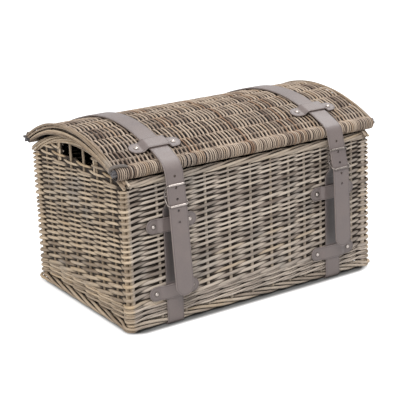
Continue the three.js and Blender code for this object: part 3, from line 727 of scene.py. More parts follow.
def underArch(y):
    # where a stake ends inside the arch rim
    return archMiddle + math.sqrt((archInner + endFill["inArch"]) ** 2 - y ** 2)


def endFillRods():
    hole = endFill["holeHalf"]
    for hand in (-1, 1):
        for index, level in enumerate(endFill["rows"] + endFill["sideRows"]):
            reach = min(archUnder(level - endFill["rowInArch"]), pathY) - endFill["rowShort"]
            whole = level <= endFill["rows"][-1]
            for low, high in [(-reach, reach)] if whole else [(-reach, -hole), (hole, reach)]:
                across = np.linspace(low, high, max(int((high - low) / endFill["step"]), endFill["fewest"]))
                turn = (across - endStakes[0]) / walls["endPitch"]
                x = hand * (pathX + walls["swing"] * np.cos(math.pi * (turn + index)))
                yield rod(track(x, across, level), endFill["radius"], pickTone(0.35))
        for place in (-endFill["edgeStake"], endFill["edgeStake"]):
            heights = np.linspace(endFill["edgeFoot"], underArch(place), 8)
            yield rod(track(hand * pathX, place, heights), endFill["edgeRadius"], endFill["edgeTone"])


dress(rodPiece("endRows", endFillRods(), wallWillow, wallProud, endWarm, seed=4.0), "basket", "willow_weave")


# Upright stakes and corner posts

posts = {"radius": 3.3, "apart": 3.5, "out": 0.6, "tone": 0.6, "stakeTone": (0.62, 0.06), "reach": 9.0,
         "sunk": 3.0, "inRim": 5.0, "proud": 0.5, "endProud": 0.36}


def uprightRods():
    foot = footTop - posts["sunk"]
    for low, high in units:
        (x, y), (nx, ny) = (row[0] for row in aroundWalls([(low + high) / 2]))
        if high > low:
            for apart in (-posts["apart"], posts["apart"]):
                yield rod(track(x + nx * posts["out"] - ny * apart, y + ny * posts["out"] + nx * apart,
                                np.linspace(foot, postTop, 20)), posts["radius"], posts["tone"])
            continue
        top = underArch(y) if abs(nx) > 0.5 else rimBottom + posts["inRim"]
        taper = np.linspace(*walls["stakeTaper"], 24) * walls["stakeRadius"]
        yield rod(track(x, y, np.linspace(foot, top, 24)), taper, random.normal(*posts["stakeTone"]))


def stakeProud(points):
    # painted shade on the stakes and posts, more on the end stakes
    nearX, nearY = (np.abs(points[:, :2]) > (pathX - posts["reach"], pathY - posts["reach"])).T
    return np.where(nearX & ~nearY, posts["endProud"], posts["proud"])


dress(rodPiece("uprights", uprightRods(), rimWillow, stakeProud, endWarm, wander=0.8, seed=5.0),
      "basket", "willow_rod", "front_left_corner_post", "back_left_corner_post", "front_right_corner_post",
      "back_right_corner_post")
print("walls woven")


# Borders: rods laid one after another round a core, like a rope with a long lay

borders = {
    "footRadius": 2.3, "footLay": 2.8, "footInset": 6.6, "footOut": 1.4, "footEndOut": 5.0, "footStart": -0.4,
    "footTurn": (-55, 205), "endRamp": (-6, 2), "cornerRamp": (8, -8), "footDark": (3.0, 5.8, 0.1, 1.0),
    "rimRadius": 2.35, "rimLay": 3.3, "rimTurn": (165, -75), "rimPast": 6.0, "rimDark": (3.2, 5.6, 0.1, 1.0),
    "rimClear": 2.2, "clearRamp": (-0.7, 0.3),  # left open under the front roll
    "rimLead": 4, "rimFewest": 4,  # rods before the first stake, and points that a rod needs
    "footVary": 0.07, "rimVary": (0.93, 1.05), "archVary": 0.08, "archCoreEnd": 0.96,
    "archRods": 7, "archRadius": 1.9, "archTwist": 2.3, "archEnds": (0.985, 1.03), "archDark": (3.5, 6.0, 0.34, 1.04),
    "footCore": (3.0, 0.1), "rimCore": (3.2, 0.15), "archCore": (2.6, 0.15),  # radius and tone
}


def ropeProud(out, up, dark):
    # painted shade: dark at the first distance from the core and clear at the second
    near, far, least, most = dark
    return smoothStep(near, far, np.hypot(out, up)) * (most - least) + least


def footOut(points):
    # how far the border stands out of the wall, more at the ends
    onEnd = smoothStep(*borders["endRamp"], np.abs(points[:, 0]) - pathX)
    onEnd = onEnd * smoothStep(*borders["cornerRamp"], np.abs(points[:, 1]) - pathY)
    return borders["footOut"] + (borders["footEndOut"] - borders["footOut"]) * onEnd


footLine = wallThick / 2 - borders["footInset"]


def footRods():
    high = (footTop - footBottom) / 2 - borders["footRadius"]
    wide = borders["footInset"] - borders["footRadius"]
    for start in np.arange(stakeCount) + borders["footStart"]:
        steps = stepsFrom(start, 0, borders["footLay"])
        angle = np.radians(np.interp(steps, [0, borders["footLay"]], borders["footTurn"]))
        out = footOut(aroundWalls(alongStakes(start + steps))[0]) + footLine + wide * np.sin(angle)
        yield wallRod(start + steps, out, footMiddle + high * np.cos(angle),
                      borders["footRadius"] * vary(borders["footVary"]), pickTone(0.3))
    yield wallRod(np.linspace(0, stakeCount, 10 * stakeCount), footLine, footMiddle, *borders["footCore"])


def footProud(points):
    return ropeProud(wallDepth(points) - footLine - footOut(points), points[:, 2] - footMiddle, borders["footDark"])


dress(rodPiece("footRope", footRods(), rimWillow, footProud, endWarm, seed=6.0), "basket", "willow_rod", "foot_border")


def rimRods(side):
    # side is -1 at the front and 1 at the back; rods climb to the right as seen from outside
    reach = rimDrop / 2 - borders["rimRadius"]
    stakes = np.array(walls["frontStakes"] if side < 0 else backStakes, dtype=float)
    pitch = np.diff(stakes).mean()
    angle = np.radians(np.linspace(*borders["rimTurn"], 36))
    y = side * (rimLine + reach * np.sin(angle))
    lower = borders["rimClear"] * smoothStep(*borders["clearRamp"], np.sin(angle))
    z = rimMiddle + reach * np.cos(angle) - lower * (0.5 + 0.5 * np.cos(angle))
    for start in np.concatenate([stakes[0] - pitch * np.arange(borders["rimLead"], 0, -1), stakes]):
        along = start + np.linspace(0, borders["rimLay"] * pitch, 36)
        keep = np.abs(along) < rimHalf + borders["rimPast"]
        if keep.sum() >= borders["rimFewest"]:
            radius = borders["rimRadius"] * random.uniform(*borders["rimVary"])
            yield rod(track(-side * along, y, z)[keep], radius, pickTone(0.4))
    yield rod(track(np.linspace(-rimHalf, rimHalf, 60), side * rimLine, rimMiddle), *borders["rimCore"])


def rimProud(points):
    return ropeProud(np.abs(points[:, 1]) - rimLine, points[:, 2] - rimMiddle, borders["rimDark"])


for side, name in [(-1, "front"), (1, "back")]:
    dress(rodPiece(name + "RimRope", rimRods(side), rimWillow, rimProud, seed=7.0 + side),
          "basket", "willow_rod", name + "_rim")


def archRods(hand):
    reach = rimDrop / 2 - borders["archRadius"]
    spread = math.asin(halfDepth / archCore)
    for index in range(borders["archRods"]):
        start, end = spread * random.uniform(*borders["archEnds"], 2)
        angle = np.linspace(-start, end, 70)
        turn = math.tau * index / borders["archRods"] + borders["archTwist"] * angle / spread
        radial = archCore + reach * np.cos(turn)
        yield rod(track(hand * (archLine + reach * np.sin(turn)), radial * np.sin(angle),
                        archMiddle + radial * np.cos(angle)), borders["archRadius"] * vary(borders["archVary"]),
                  pickTone(0.1, 0.9, 0.26))
    end = spread * borders["archCoreEnd"]
    core = arcPoints(0, archMiddle, archCore, -end, end, 50)
    yield rod(track(hand * archLine, *core.T), *borders["archCore"])


def archProud(points):
    radial = np.hypot(points[:, 1], points[:, 2] - archMiddle) - archCore
    return ropeProud(np.abs(points[:, 0]) - archLine, radial, borders["archDark"])


for hand, name in [(-1, "left"), (1, "right")]:
    dress(rodPiece(name + "ArchRope", archRods(hand), rimWillow, archProud, endWarm, wander=1.6, seed=9.0 + hand),
          "basket", "willow_rod", name + "_arch_rim")
print("borders laid")


# Base: sticks along the length with rods woven across

base = {"sticks": 7, "stickRadius": 2.4, "stickInset": 2.0, "pitch": 5.6, "radius": 2.2, "swing": 2.2, "edge": 3.0,
        "inset": 1.0, "steps": 6, "clear": 4.4}


def baseRods():
    gap = (baseHigh[1] - baseLow[1]) / base["sticks"]
    along = np.linspace(baseLow[0] + base["stickInset"], baseHigh[0] - base["stickInset"], 40)
    for index in range(base["sticks"]):
        yield rod(track(along, baseLow[1] + gap * (index + 0.5), baseLevel), base["stickRadius"], pickTone())
    span = baseHigh[0] - baseLow[0] - 2 * base["edge"]
    count = int(span / base["pitch"])
    across = np.linspace(baseLow[1] + base["inset"], baseHigh[1] - base["inset"], base["sticks"] * base["steps"])
    for index in range(count):
        x = baseLow[0] + base["edge"] + (index + 0.5) * span / count
        swing = base["swing"] * np.cos(math.pi * ((across - baseLow[1]) / gap - 0.5 + index))
        yield rod(track(x, across, baseLevel + swing), base["radius"], pickTone())


def baseProud(points):
    # painted shade towards the middle of the base
    return np.abs(points[:, 2] - baseLevel) / base["clear"]


dress(rodPiece("baseWeave", baseRods(), wallWillow, baseProud, sides=6, seed=12.0),
      "basket", "willow_weave", "base_panel")


# Lid: weavers run from front to back over long stakes and wrap the rolls at both edges

lid = {
    "weavers": 142,
    "radius": 1.58,
    "vary": 0.1,
    "slimmer": 0.2,  # over and under a stake
    "rollShare": 0.87,  # a weaver is drawn thin round the rolls
    "swing": 3.0,
    "dive": 0.5,  # a smaller share goes over and under the stakes more sharply
    "stakePitch": 38.5,  # along the curve
    "stakeCount": 7,
    "stakeShift": -6.0,
    "stakeRadius": 2.3,
    "stakeInset": 2.0,
    "stakeProud": 0.42,
    "coreRods": 6,
    "coreRadius": 2.1,
    "coreRing": 3.7,
    "coreOut": (2.0, 6.0),  # core rods past the wrapping
    "coreTwist": 1.4,
    "wrap": 7.5,
    "wrapSpan": math.radians(250) / 2,
    "frontWrap": 8.1,
    "frontDrop": 1.4,  # the front edge is wrapped more loosely and hangs lower
    "knot": [(-3, 7, 1), (-5, 2, 7), (-2.5, -1.5, 10.6), (5, -2.5, 11), (14, -2, 9.8), (19, -1.5, 7.5)],
    "knotRadius": 2.4,
    "knotTone": 0.8,
    "straight": 4,  # weavers at each end that stand in line
    "jitter": 0.4,
    "lean": 0.22,
    "leanKept": 0.85,  # from one weaver to the next
    "rollGap": 10.0,  # along the curve, from where a weaver leaves the stakes for the roll
    "fade": 9.0,
    "darkDepths": (0.0, 1.6),
    "rollDark": (7.2, 8.8, 0.56),  # painted shade: from dark to clear round a roll, and how clear
    "rollReach": 9.6,
}
lidStakeArcs = (np.arange(lid["stakeCount"]) - (lid["stakeCount"] - 1) / 2) * lid["stakePitch"] + lid["stakeShift"]
rollAngle = math.atan2(rollPlace, rollHeight - lidMiddle)
rollArc = lidSkin * rollAngle
plain = 0.75  # rods that stand clear all round


def lidPoint(arc, lift):
    angle = arc / lidSkin
    return np.stack([(lidSkin + lift) * np.sin(angle), lidMiddle + (lidSkin + lift) * np.cos(angle)], -1)


def rollWrap(side):
    # round an edge roll, from on top of the panel to underneath it
    level, radius = (rollHeight, lid["wrap"]) if side > 0 else (rollHeight - lid["frontDrop"], lid["frontWrap"])
    middle = rollAngle + quarter
    return arcPoints(side * rollPlace, level, radius, side * (middle - lid["wrapSpan"]),
                     side * (middle + lid["wrapSpan"]), 18)


def lidWeavers():
    last = rollArc - lid["rollGap"]
    arc = np.linspace(-last, last, 66)
    turn = (arc - lidStakeArcs[0]) / lid["stakePitch"]
    fade = smoothStep(last, last - lid["fade"], np.abs(arc))
    front, back = rollWrap(-1)[::-1], rollWrap(1)
    lean = 0.0
    for index in range(lid["weavers"]):
        inner = lid["straight"] <= index < lid["weavers"] - lid["straight"]
        x = lidHalf * ((2 * index + 1) / lid["weavers"] - 1) + inner * random.normal(0, lid["jitter"])
        wave = np.cos(math.pi * (turn + index))
        wave = fade * wave * math.hypot(1, lid["dive"]) / np.hypot(wave, lid["dive"])
        path = np.vstack([front, lidPoint(arc, lid["swing"] * wave + 1 - fade), back])
        lean = inner * (lid["leanKept"] * lean + random.normal(0, lid["lean"]))
        sway = lean * np.sin(np.linspace(0, math.pi, len(path)))
        slim = np.concatenate([np.full(len(front), lid["rollShare"]), 1 - lid["slimmer"] * wave ** 2,
                               np.full(len(back), lid["rollShare"])])
        radius = lid["radius"] * slim * vary(lid["vary"])
        yield rod(np.column_stack([x + sway, path]), radius, pickTone(0.0, 1.05, 0.25))


def lidProud(points):
    # painted shade: darker round the rolls and where the weavers go in behind the stakes
    y, z = points[:, 1], points[:, 2]
    drop = np.where(y < 0, lid["frontDrop"], 0.0)
    loose = np.where(y < 0, lid["frontWrap"] - lid["wrap"], 0.0)
    away = np.hypot(np.abs(y) - rollPlace, z - rollHeight + drop) - loose
    facing = (points[:, 4] * y + points[:, 5] * (z - lidMiddle)) / lidSkin
    panel = wovenProud(np.hypot(y, z - lidMiddle) - lidSkin, facing, lid["darkDepths"])
    near, far, most = lid["rollDark"]
    return np.where(away < lid["rollReach"], smoothStep(near, far, away) * most, panel)


def lidStakeRods():
    along = np.linspace(lid["stakeInset"] - lidHalf, lidHalf - lid["stakeInset"], 60)
    return [rod(track(along, *lidPoint(place, 0.0)), lid["stakeRadius"], pickTone(0.3, 0.7)) for place in lidStakeArcs]


def lidPackingRods():
    end = lidHalf - packing["lidInset"]
    spots = [lidPoint(arc, packing["out"]) for arc in packedLevels("lid", -rollArc, rollArc)]
    return [packed((-end, *spot), (end, *spot)) for spot in spots]


def rollRods(side):
    for index in range(lid["coreRods"] + 1):
        low, high = lidHalf + random.uniform(*lid["coreOut"], 2)
        ring = lid["coreRing"] if index else 0.0
        turn = math.tau * index / lid["coreRods"] + np.linspace(0, lid["coreTwist"], 60)
        yield rod(track(np.linspace(-low, high, 60), side * rollPlace + ring * np.sin(turn),
                        rollHeight + ring * np.cos(turn)), lid["coreRadius"], pickTone(0.1, 0.6))
    if side < 0:
        # a core rod is bent back over the left end of the front roll
        knot = spline(lid["knot"], 6) + (-lidHalf, -rollPlace, rollHeight)
        yield rod(knot, lid["knotRadius"], lid["knotTone"])


dress(rodPiece("lidWeave", lidWeavers(), lidWillow, lidProud, sides=6, wander=0.9, swell=0.25, seed=14.0),
      "lid", "willow_weave", "lid_panel")
# the lid is packed the same way, its rods in full painted shade
dress(rodPiece("lidPacking", lidPackingRods(), lidWillow, 0.0, sides=6, wander=0.0, swell=0.0), "lid", "willow_rod")
# the lid stakes take a fixed painted shade
dress(rodPiece("lidStakes", lidStakeRods(), lidWillow, lid["stakeProud"], seed=15.0), "lid", "willow_rod")
for side, name, node in [(-1, "frontRollCore", "lid_front_roll"), (1, "hingeRollCore", "lid_hinge_roll")]:
    dress(rodPiece(name, rollRods(side), coreWillow, plain, wander=0.4, seed=16.0 + side), "lid", "willow_rod", node)


bands = {
    "out": 2.5, "radius": 1.6, "vary": 0.1, "clear": 1.5, "least": 0.5, "rollGap": 0.3, "middle": 4.0, "rimInset": 0.4,
    "cross": 0.2, "crossWave": (2.6, 1.7),  # rods of the bundle change places along it
    "rods": [(2.0, 0.0), (2.6, 0.36), (2.0, 0.68), (2.4, 1.0), (6.0, 0.18), (6.2, 0.62), (6.0, 0.98), (9.6, 0.32),
             (9.8, 0.8)],  # inset, and share of the room under the lid
    "edge": [(0.6, 3.0), (1.6, -0.2), (3.6, 3.4)],  # rods on the ends of the weavers: inset and lift
    "weave": 0.9, "edgeWave": (40.0, 2.1),  # of the edge rods' lift
    "edgeInset": 3.0, "edgeVary": (0.95, 1.15), "edgeTones": (0.02, 0.34),
    "dark": (0.7, 0.95, 0.2, 1.0),
}


def bandRoom(y):
    lower = archMiddle + np.sqrt((archRadius + bands["clear"]) ** 2 - y ** 2)
    upper = lidMiddle + np.sqrt((lidRadius - lidShape["thick"]) ** 2 - y ** 2)
    return lower, np.maximum(upper - lower, 2 * bands["radius"] + bands["least"])


def bandRods(hand):
    panelAngle = rollAngle - (rollRadius + bands["rollGap"]) / math.hypot(rollPlace, rollHeight - lidMiddle)
    reach = (lidRadius - lidShape["thick"]) * math.sin(panelAngle)
    y = np.linspace(-reach, reach, 60)
    lower, room = bandRoom(y)
    end = lidHalf + bands["out"]
    turns, apart = bands["crossWave"]
    for index, (inset, share) in enumerate(bands["rods"]):
        share = np.clip(share + bands["cross"] * np.sin(turns * y / reach + apart * index), 0, 1)
        z = lower + bands["radius"] + (room - 2 * bands["radius"]) * share
        yield rod(track(hand * (end - inset), y, z), bands["radius"] * vary(bands["vary"]), pickTone(0.1, 0.9, 0.26))
    arc = np.linspace(bands["edgeInset"] - rollArc, rollArc - bands["edgeInset"], 70)
    length, apart = bands["edgeWave"]
    for index, (inset, lift) in enumerate(bands["edge"]):
        lift = lift + bands["weave"] * np.sin(arc / length + apart * index)
        radius = bands["radius"] * random.uniform(*bands["edgeVary"])
        yield rod(track(hand * (end - inset), *lidPoint(arc, lift).T), radius, random.uniform(*bands["edgeTones"]))


def bandProud(points):
    # painted shade towards the middle of the bundle
    lower, room = bandRoom(np.clip(points[:, 1], 1 - rollPlace, rollPlace - 1))
    across = (np.abs(points[:, 0]) - lidHalf + bands["middle"]) / (bands["middle"] + bands["out"] - bands["rimInset"])
    up = (points[:, 2] - lower - room / 2) / (room / 2 + lidShape["thick"])
    return ropeProud(across, up, bands["dark"])


for hand, name in [(-1, "left"), (1, "right")]:
    dress(rodPiece(name + "EndBundle", bandRods(hand), rimWillow, bandProud, endWarm, wander=1.4, seed=18.0 + hand),
          "lid", "willow_rod", f"lid_{name}_band")
print("lid woven")


# Hinge loops: two strands twisted together round the back rim and the hinge roll

loops = {"strandRadius": 1.35, "twist": 1.3, "turns": 9, "round": 7.0, "inset": 1.5, "tones": (0.45, 0.65)}


def loopRods(node):
    low, high = bodyBox(node)
    ring = roundedRing(low[1:] + loops["inset"], high[1:] - loops["inset"], loops["round"], 10)
    path = evenPath(np.vstack([ring, ring[:1]]), count=110)
    outward = unit(path - (low + high)[1:] / 2)
    for strand, tone in enumerate(loops["tones"]):
        turn = math.tau * loops["turns"] * np.linspace(0, 1, len(path)) + math.pi * strand
        flat = path + outward * (loops["twist"] * np.cos(turn))[:, None]
        x = (low[0] + high[0]) / 2 + loops["twist"] * np.sin(turn)
        yield rod(np.column_stack([x, flat]), loops["strandRadius"], tone)


for index in (1, 2, 3):
    node = f"hinge_loop_{index}"
    dress(rodPiece(f"hingeLoop{index}", loopRods(node), rimWillow, plain, wander=0.3, seed=20.0 + index),
          "basket", "willow_rod", node)


# Leather

hide = {
    "grain": (0.6, 0.58, 0.57, 1), "covered": (0.2, 0.18, 0.18, 1), "bump": (0.35, 0.0003), "shine": 0.65,
    "groove": 1.9,  # of the crease from the edge
}


def leatherGroup():
    tree, source, result = newGroup("hideSurface", "Shader", {"Color": ["Hide", "Worn", "Crease"]}, surface)
    edge, covered = (addAttribute(tree, name) for name in ("edge", "covered"))
    place = addPlace(tree)
    pores = addNode(tree, "ShaderNodeTexVoronoi", {"Vector": place, "Scale": 900.0}, feature="DISTANCE_TO_EDGE")
    fine = addNoise(tree, 520.0, 3.0, Vector=place)
    cloud = addNoise(tree, 38.0, 4.0, Vector=place)
    fromGroove = addMath(tree, "ABSOLUTE", addMath(tree, "SUBTRACT", edge, hide["groove"]))
    groove = addMath(tree, "SUBTRACT", 1.0, addRange(tree, fromGroove, 0.15, 0.6))
    # the last layer is a painted shadow where the tail lies over the lower strap
    colour = addLayers(tree, source["Hide"], [
        ("MIX", addRange(tree, cloud, 0.3, 0.75, 0.0, 0.5), source["Worn"]),
        ("MULTIPLY", addRange(tree, fine, 0.35, 0.7, 0.0, 0.16), hide["grain"]),
        ("MIX", addRange(tree, edge, 0.15, 0.9, 0.6, 0.0), source["Worn"]),
        ("MULTIPLY", addMath(tree, "MULTIPLY", groove, 0.75), source["Crease"]),
        ("MULTIPLY", covered, hide["covered"])])
    skin = addMath(tree, "MULTIPLY_ADD", addRange(tree, pores, 0.0, 0.12), 0.35, addMath(tree, "MULTIPLY", fine, 0.3))
    return closeGroup(tree, result, Colour=colour, Roughness=addRange(tree, cloud, 0.3, 0.7, 0.4, 0.54),
                      Height=addMath(tree, "MULTIPLY_ADD", groove, -1.6, skin))


strapLeather = skinMaterial(
    "strapLeather", leatherGroup(),
    {"Hide": rgb(109, 98, 96), "Worn": rgb(126, 114, 110), "Crease": (0.45, 0.42, 0.42, 1)},
    {"Specular IOR Level": hide["shine"]}, hide["bump"])

strips = {  # lines across half a strip, from its edge inwards, and how much of the thickness is left at the edge
    "upper": [8.0, 4.0, 2.9, 2.3, 1.9, 1.5, 1.0, 0.55, 0.2, 0.0], "upperEdge": [0.94, 0.62, 0.0],
    "lower": [8.0, 4.0, 1.0, 0.55, 0.2], "lowerEdge": [0.94, 0.62],
}


def meshPiece(name, points, faces, material):
    mesh = newMesh(name, toFrame(points), faces=faces)
    mesh.update()
    mesh.materials.append(material)
    return addObject(name, mesh)


def tidyMesh(mesh):
    work = bmesh.new()
    work.from_mesh(mesh)
    bmesh.ops.remove_doubles(work, verts=work.verts, dist=1e-6)
    bmesh.ops.recalc_face_normals(work, faces=work.faces)
    work.to_mesh(mesh)
    work.free()
    mesh.shade_smooth()


def tubeFaces(start, count, ring, closed):
    # faces between rings of points, with caps on an open run
    faces = []
    for i in range(count if closed else count - 1):
        here, there = start + i * ring, start + (i + 1) % count * ring
        faces += [(here + k, here + (k + 1) % ring, there + (k + 1) % ring, there + k) for k in range(ring)]
    if not closed:
        last = start + (count - 1) * ring
        faces += [tuple(range(start, start + ring))[::-1], tuple(range(last, last + ring))]
    return faces


def stripPiece(name, path, halfWidths, thick, toPlace, edgeOf=None):
    # a flat strip with rounded edges along a path in two coordinates; toPlace turns (path a, path b, across) to x, y, z
    path = np.asarray(path, dtype=float)
    along = unit(np.gradient(path, axis=0))
    half = thick / 2
    profile = [(None, half)]
    for lines, edge, level, way in ((strips["upper"], strips["upperEdge"], half, 1),
                                    (strips["lower"], strips["lowerEdge"], -half, -1)):
        shares = [1.0] * (len(lines) - len(edge)) + edge
        profile += [(line, level * share) for line, share in zip(lines, shares)][::way]
    profile.append((None, -half))
    vertices = []
    edges = []
    for (a, b), (da, db), width in zip(path, along, np.broadcast_to(halfWidths, len(path))):
        right = [(0.0 if line is None else max(width - line, 0.0), v) for line, v in profile]
        for u, v in right + [(-u, v) for u, v in right[-2:0:-1]]:
            vertices.append((a + db * v, b - da * v, u))
            edges.append(width - abs(u))
    local = np.array(vertices)
    piece = meshPiece(name, toPlace(local), tubeFaces(0, len(path), 2 * len(profile) - 2, False), strapLeather)
    setAttribute(piece.data, "edge", edgeOf(local) if edgeOf else edges)
    tidyMesh(piece.data)
    return piece


def roundEnd(past, radius):
    # half width of a strip that ends in a half circle
    return np.sqrt(np.maximum(radius ** 2 - np.maximum(past, 0) ** 2, 0))


def fromOutline(past, across, radius):
    return radius - np.hypot(np.maximum(past, 0), across)


# Holes are punched by Geometry Nodes: a pin at every place, cut from the strap

def punchTree():
    tree, source, result = newGroup(
        "punchedHoles", "Geometry", {"Geometry": ["Strap"], "Object": ["Places"], "Float": ["Radius", "Lean"],
                                     "Material": ["Leather"]}, {"Geometry": ["Punched"]})
    spots = addGeometry(tree, "ObjectInfo", Object=source["Places"]).outputs["Geometry"]
    pin = addGeometry(tree, "MeshCylinder", Vertices=20, Radius=source["Radius"], Depth=0.02)
    turn = addXyz(tree, addMath(tree, "ADD", source["Lean"], quarter))
    pins = addGeometry(tree, "InstanceOnPoints", Points=spots, Instance=pin, Rotation=turn)
    solid = addGeometry(tree, "RealizeInstances", Geometry=pins)
    cut = addNode(tree, "GeometryNodeMeshBoolean", {"Mesh 1": source["Strap"], "Mesh 2": solid},
                  operation="DIFFERENCE", solver="EXACT")
    return closeGroup(tree, result, Punched=addPainted(tree, cut, source["Leather"]))


punchedHoles = punchTree()


def punchHoles(strap, places, lean, edgeOf):
    holder = addObject("holePlaces", newMesh("holePlaces", toFrame(places)))
    piece = bakeNodes(strap, strap.name, punchedHoles, {"Places": holder, "Radius": straps["holeRadius"] * mm,
                                                        "Lean": lean, "Leather": strapLeather})
    bpy.data.meshes.remove(holder.data)
    piece.data.set_sharp_from_angle(angle=math.radians(40))
    # how far each point lies from the strap's outline, for the crease along it
    setAttribute(piece.data, "edge", edgeOf(vertexPlaces(piece.data)))
    return piece


# Straps

straps = {
    "width": 30.0, "girth": 28.0, "thick": 2.5, "turn": 6.5, "splice": 150.0, "spliceGap": 0.3, "press": 0.1,
    "holePitch": 16.5, "holeCount": 5, "prongRise": 10.5, "holeRadius": 2.0, "step": 2.5,
    "lift": (0.03, 0.2),  # past the hinge roll, in radians, where the strap comes down on the lid
    "dark": (8.0, 16.0), "darkSide": (4.0, 9.0),  # fading of the painted shadow that the tail casts on the lower strap
    "eye": (150, -100), "eyeGrip": 0.2,  # degrees round the buckle's centre bar, and how tightly
    "sag": (0.2, 0.38),  # of the lower strap, out and down, before it lands on the wall
    "leave": 5.0,  # below the back rim, where the strap turns to the hinge roll
    "backBend": [(10.0, -22.0), (-4.0, 11.0)],  # where it bends, from the hinge roll
    "dropBend": (6.0, 14.0, -22.0),  # in and above the front roll, and above the buckle
    "tailBend": (-1.0, 14.0),
}
sides = {
    "left": {"place": -147.5, "bow": 29.0, "dropLean": 8.0, "tailLean": 4.5, "tail": 129.0,
             "upperKeeper": 155.0, "lowerKeeper": 53.0, "lidKeeper": 109.0, "paintedShade": (0.75, 0.0)},
    "right": {"place": 147.5, "bow": 16.0, "dropLean": 15.0, "tailLean": 2.5, "tail": 121.0,
              "upperKeeper": 145.0, "lowerKeeper": 46.0, "lidKeeper": 98.0, "paintedShade": (0.85, 0.7)},
}
buckle = {"wire": 1.6, "shownWire": 1.15, "roller": 1.6, "height": 30.0, "corner": 3.0, "level": 200.5, "chape": 2.0,
          "gap": 0.3, "run": 0.5, "aside": (0.0, 1.0, 0.13)}  # a direction that no wire takes

keepers = {"length": 84.0, "width": 22.0, "thick": 2.2, "ramp": 9.0, "gap": 0.3, "rivetSpan": 61.0}

strapHalf = straps["width"] / 2
halfThick = straps["thick"] / 2
strapCrown = lidCrown + buckle["run"]
strapWrap = rollRadius + buckle["gap"]
strapMiddle = (((strapCrown - strapWrap) ** 2 - rollPlace ** 2 - rollHeight ** 2)
               / (2 * (strapCrown - strapWrap - rollHeight)))
strapRadius = strapCrown - strapMiddle
strapCrest = math.atan2(rollPlace, rollHeight - strapMiddle)
strapLine = halfDepth + buckle["run"] + halfThick
wrapRadius = strapWrap + halfThick
barBehind = halfThick + buckle["gap"] * 2 + buckle["wire"] + buckle["chape"]
barsForward = halfThick + buckle["gap"] + buckle["wire"]
dropBelow = buckle["height"] / 2 + 2 * buckle["wire"] + buckle["run"]
onLid = strapRadius + halfThick
holePlaces = (np.arange(straps["holeCount"]) - 1) * straps["holePitch"] - straps["prongRise"]


def dropRun(side):
    lean = math.radians(side["dropLean"])
    past = max(side["bow"], wrapRadius) - wrapRadius
    bend = arcPoints(past * math.sin(strapCrest) - rollPlace, rollHeight - past * math.cos(strapCrest),
                     past + wrapRadius, -strapCrest, lean - quarter, 24)
    out = np.array([-math.cos(lean), math.sin(lean)])
    down = np.array([-math.sin(lean), -math.cos(lean)])
    reach = (bend[-1][1] - buckle["level"]) / math.cos(lean)
    return lean, bend, lambda forward, below: bend[-1] + forward * out + (reach + below) * down


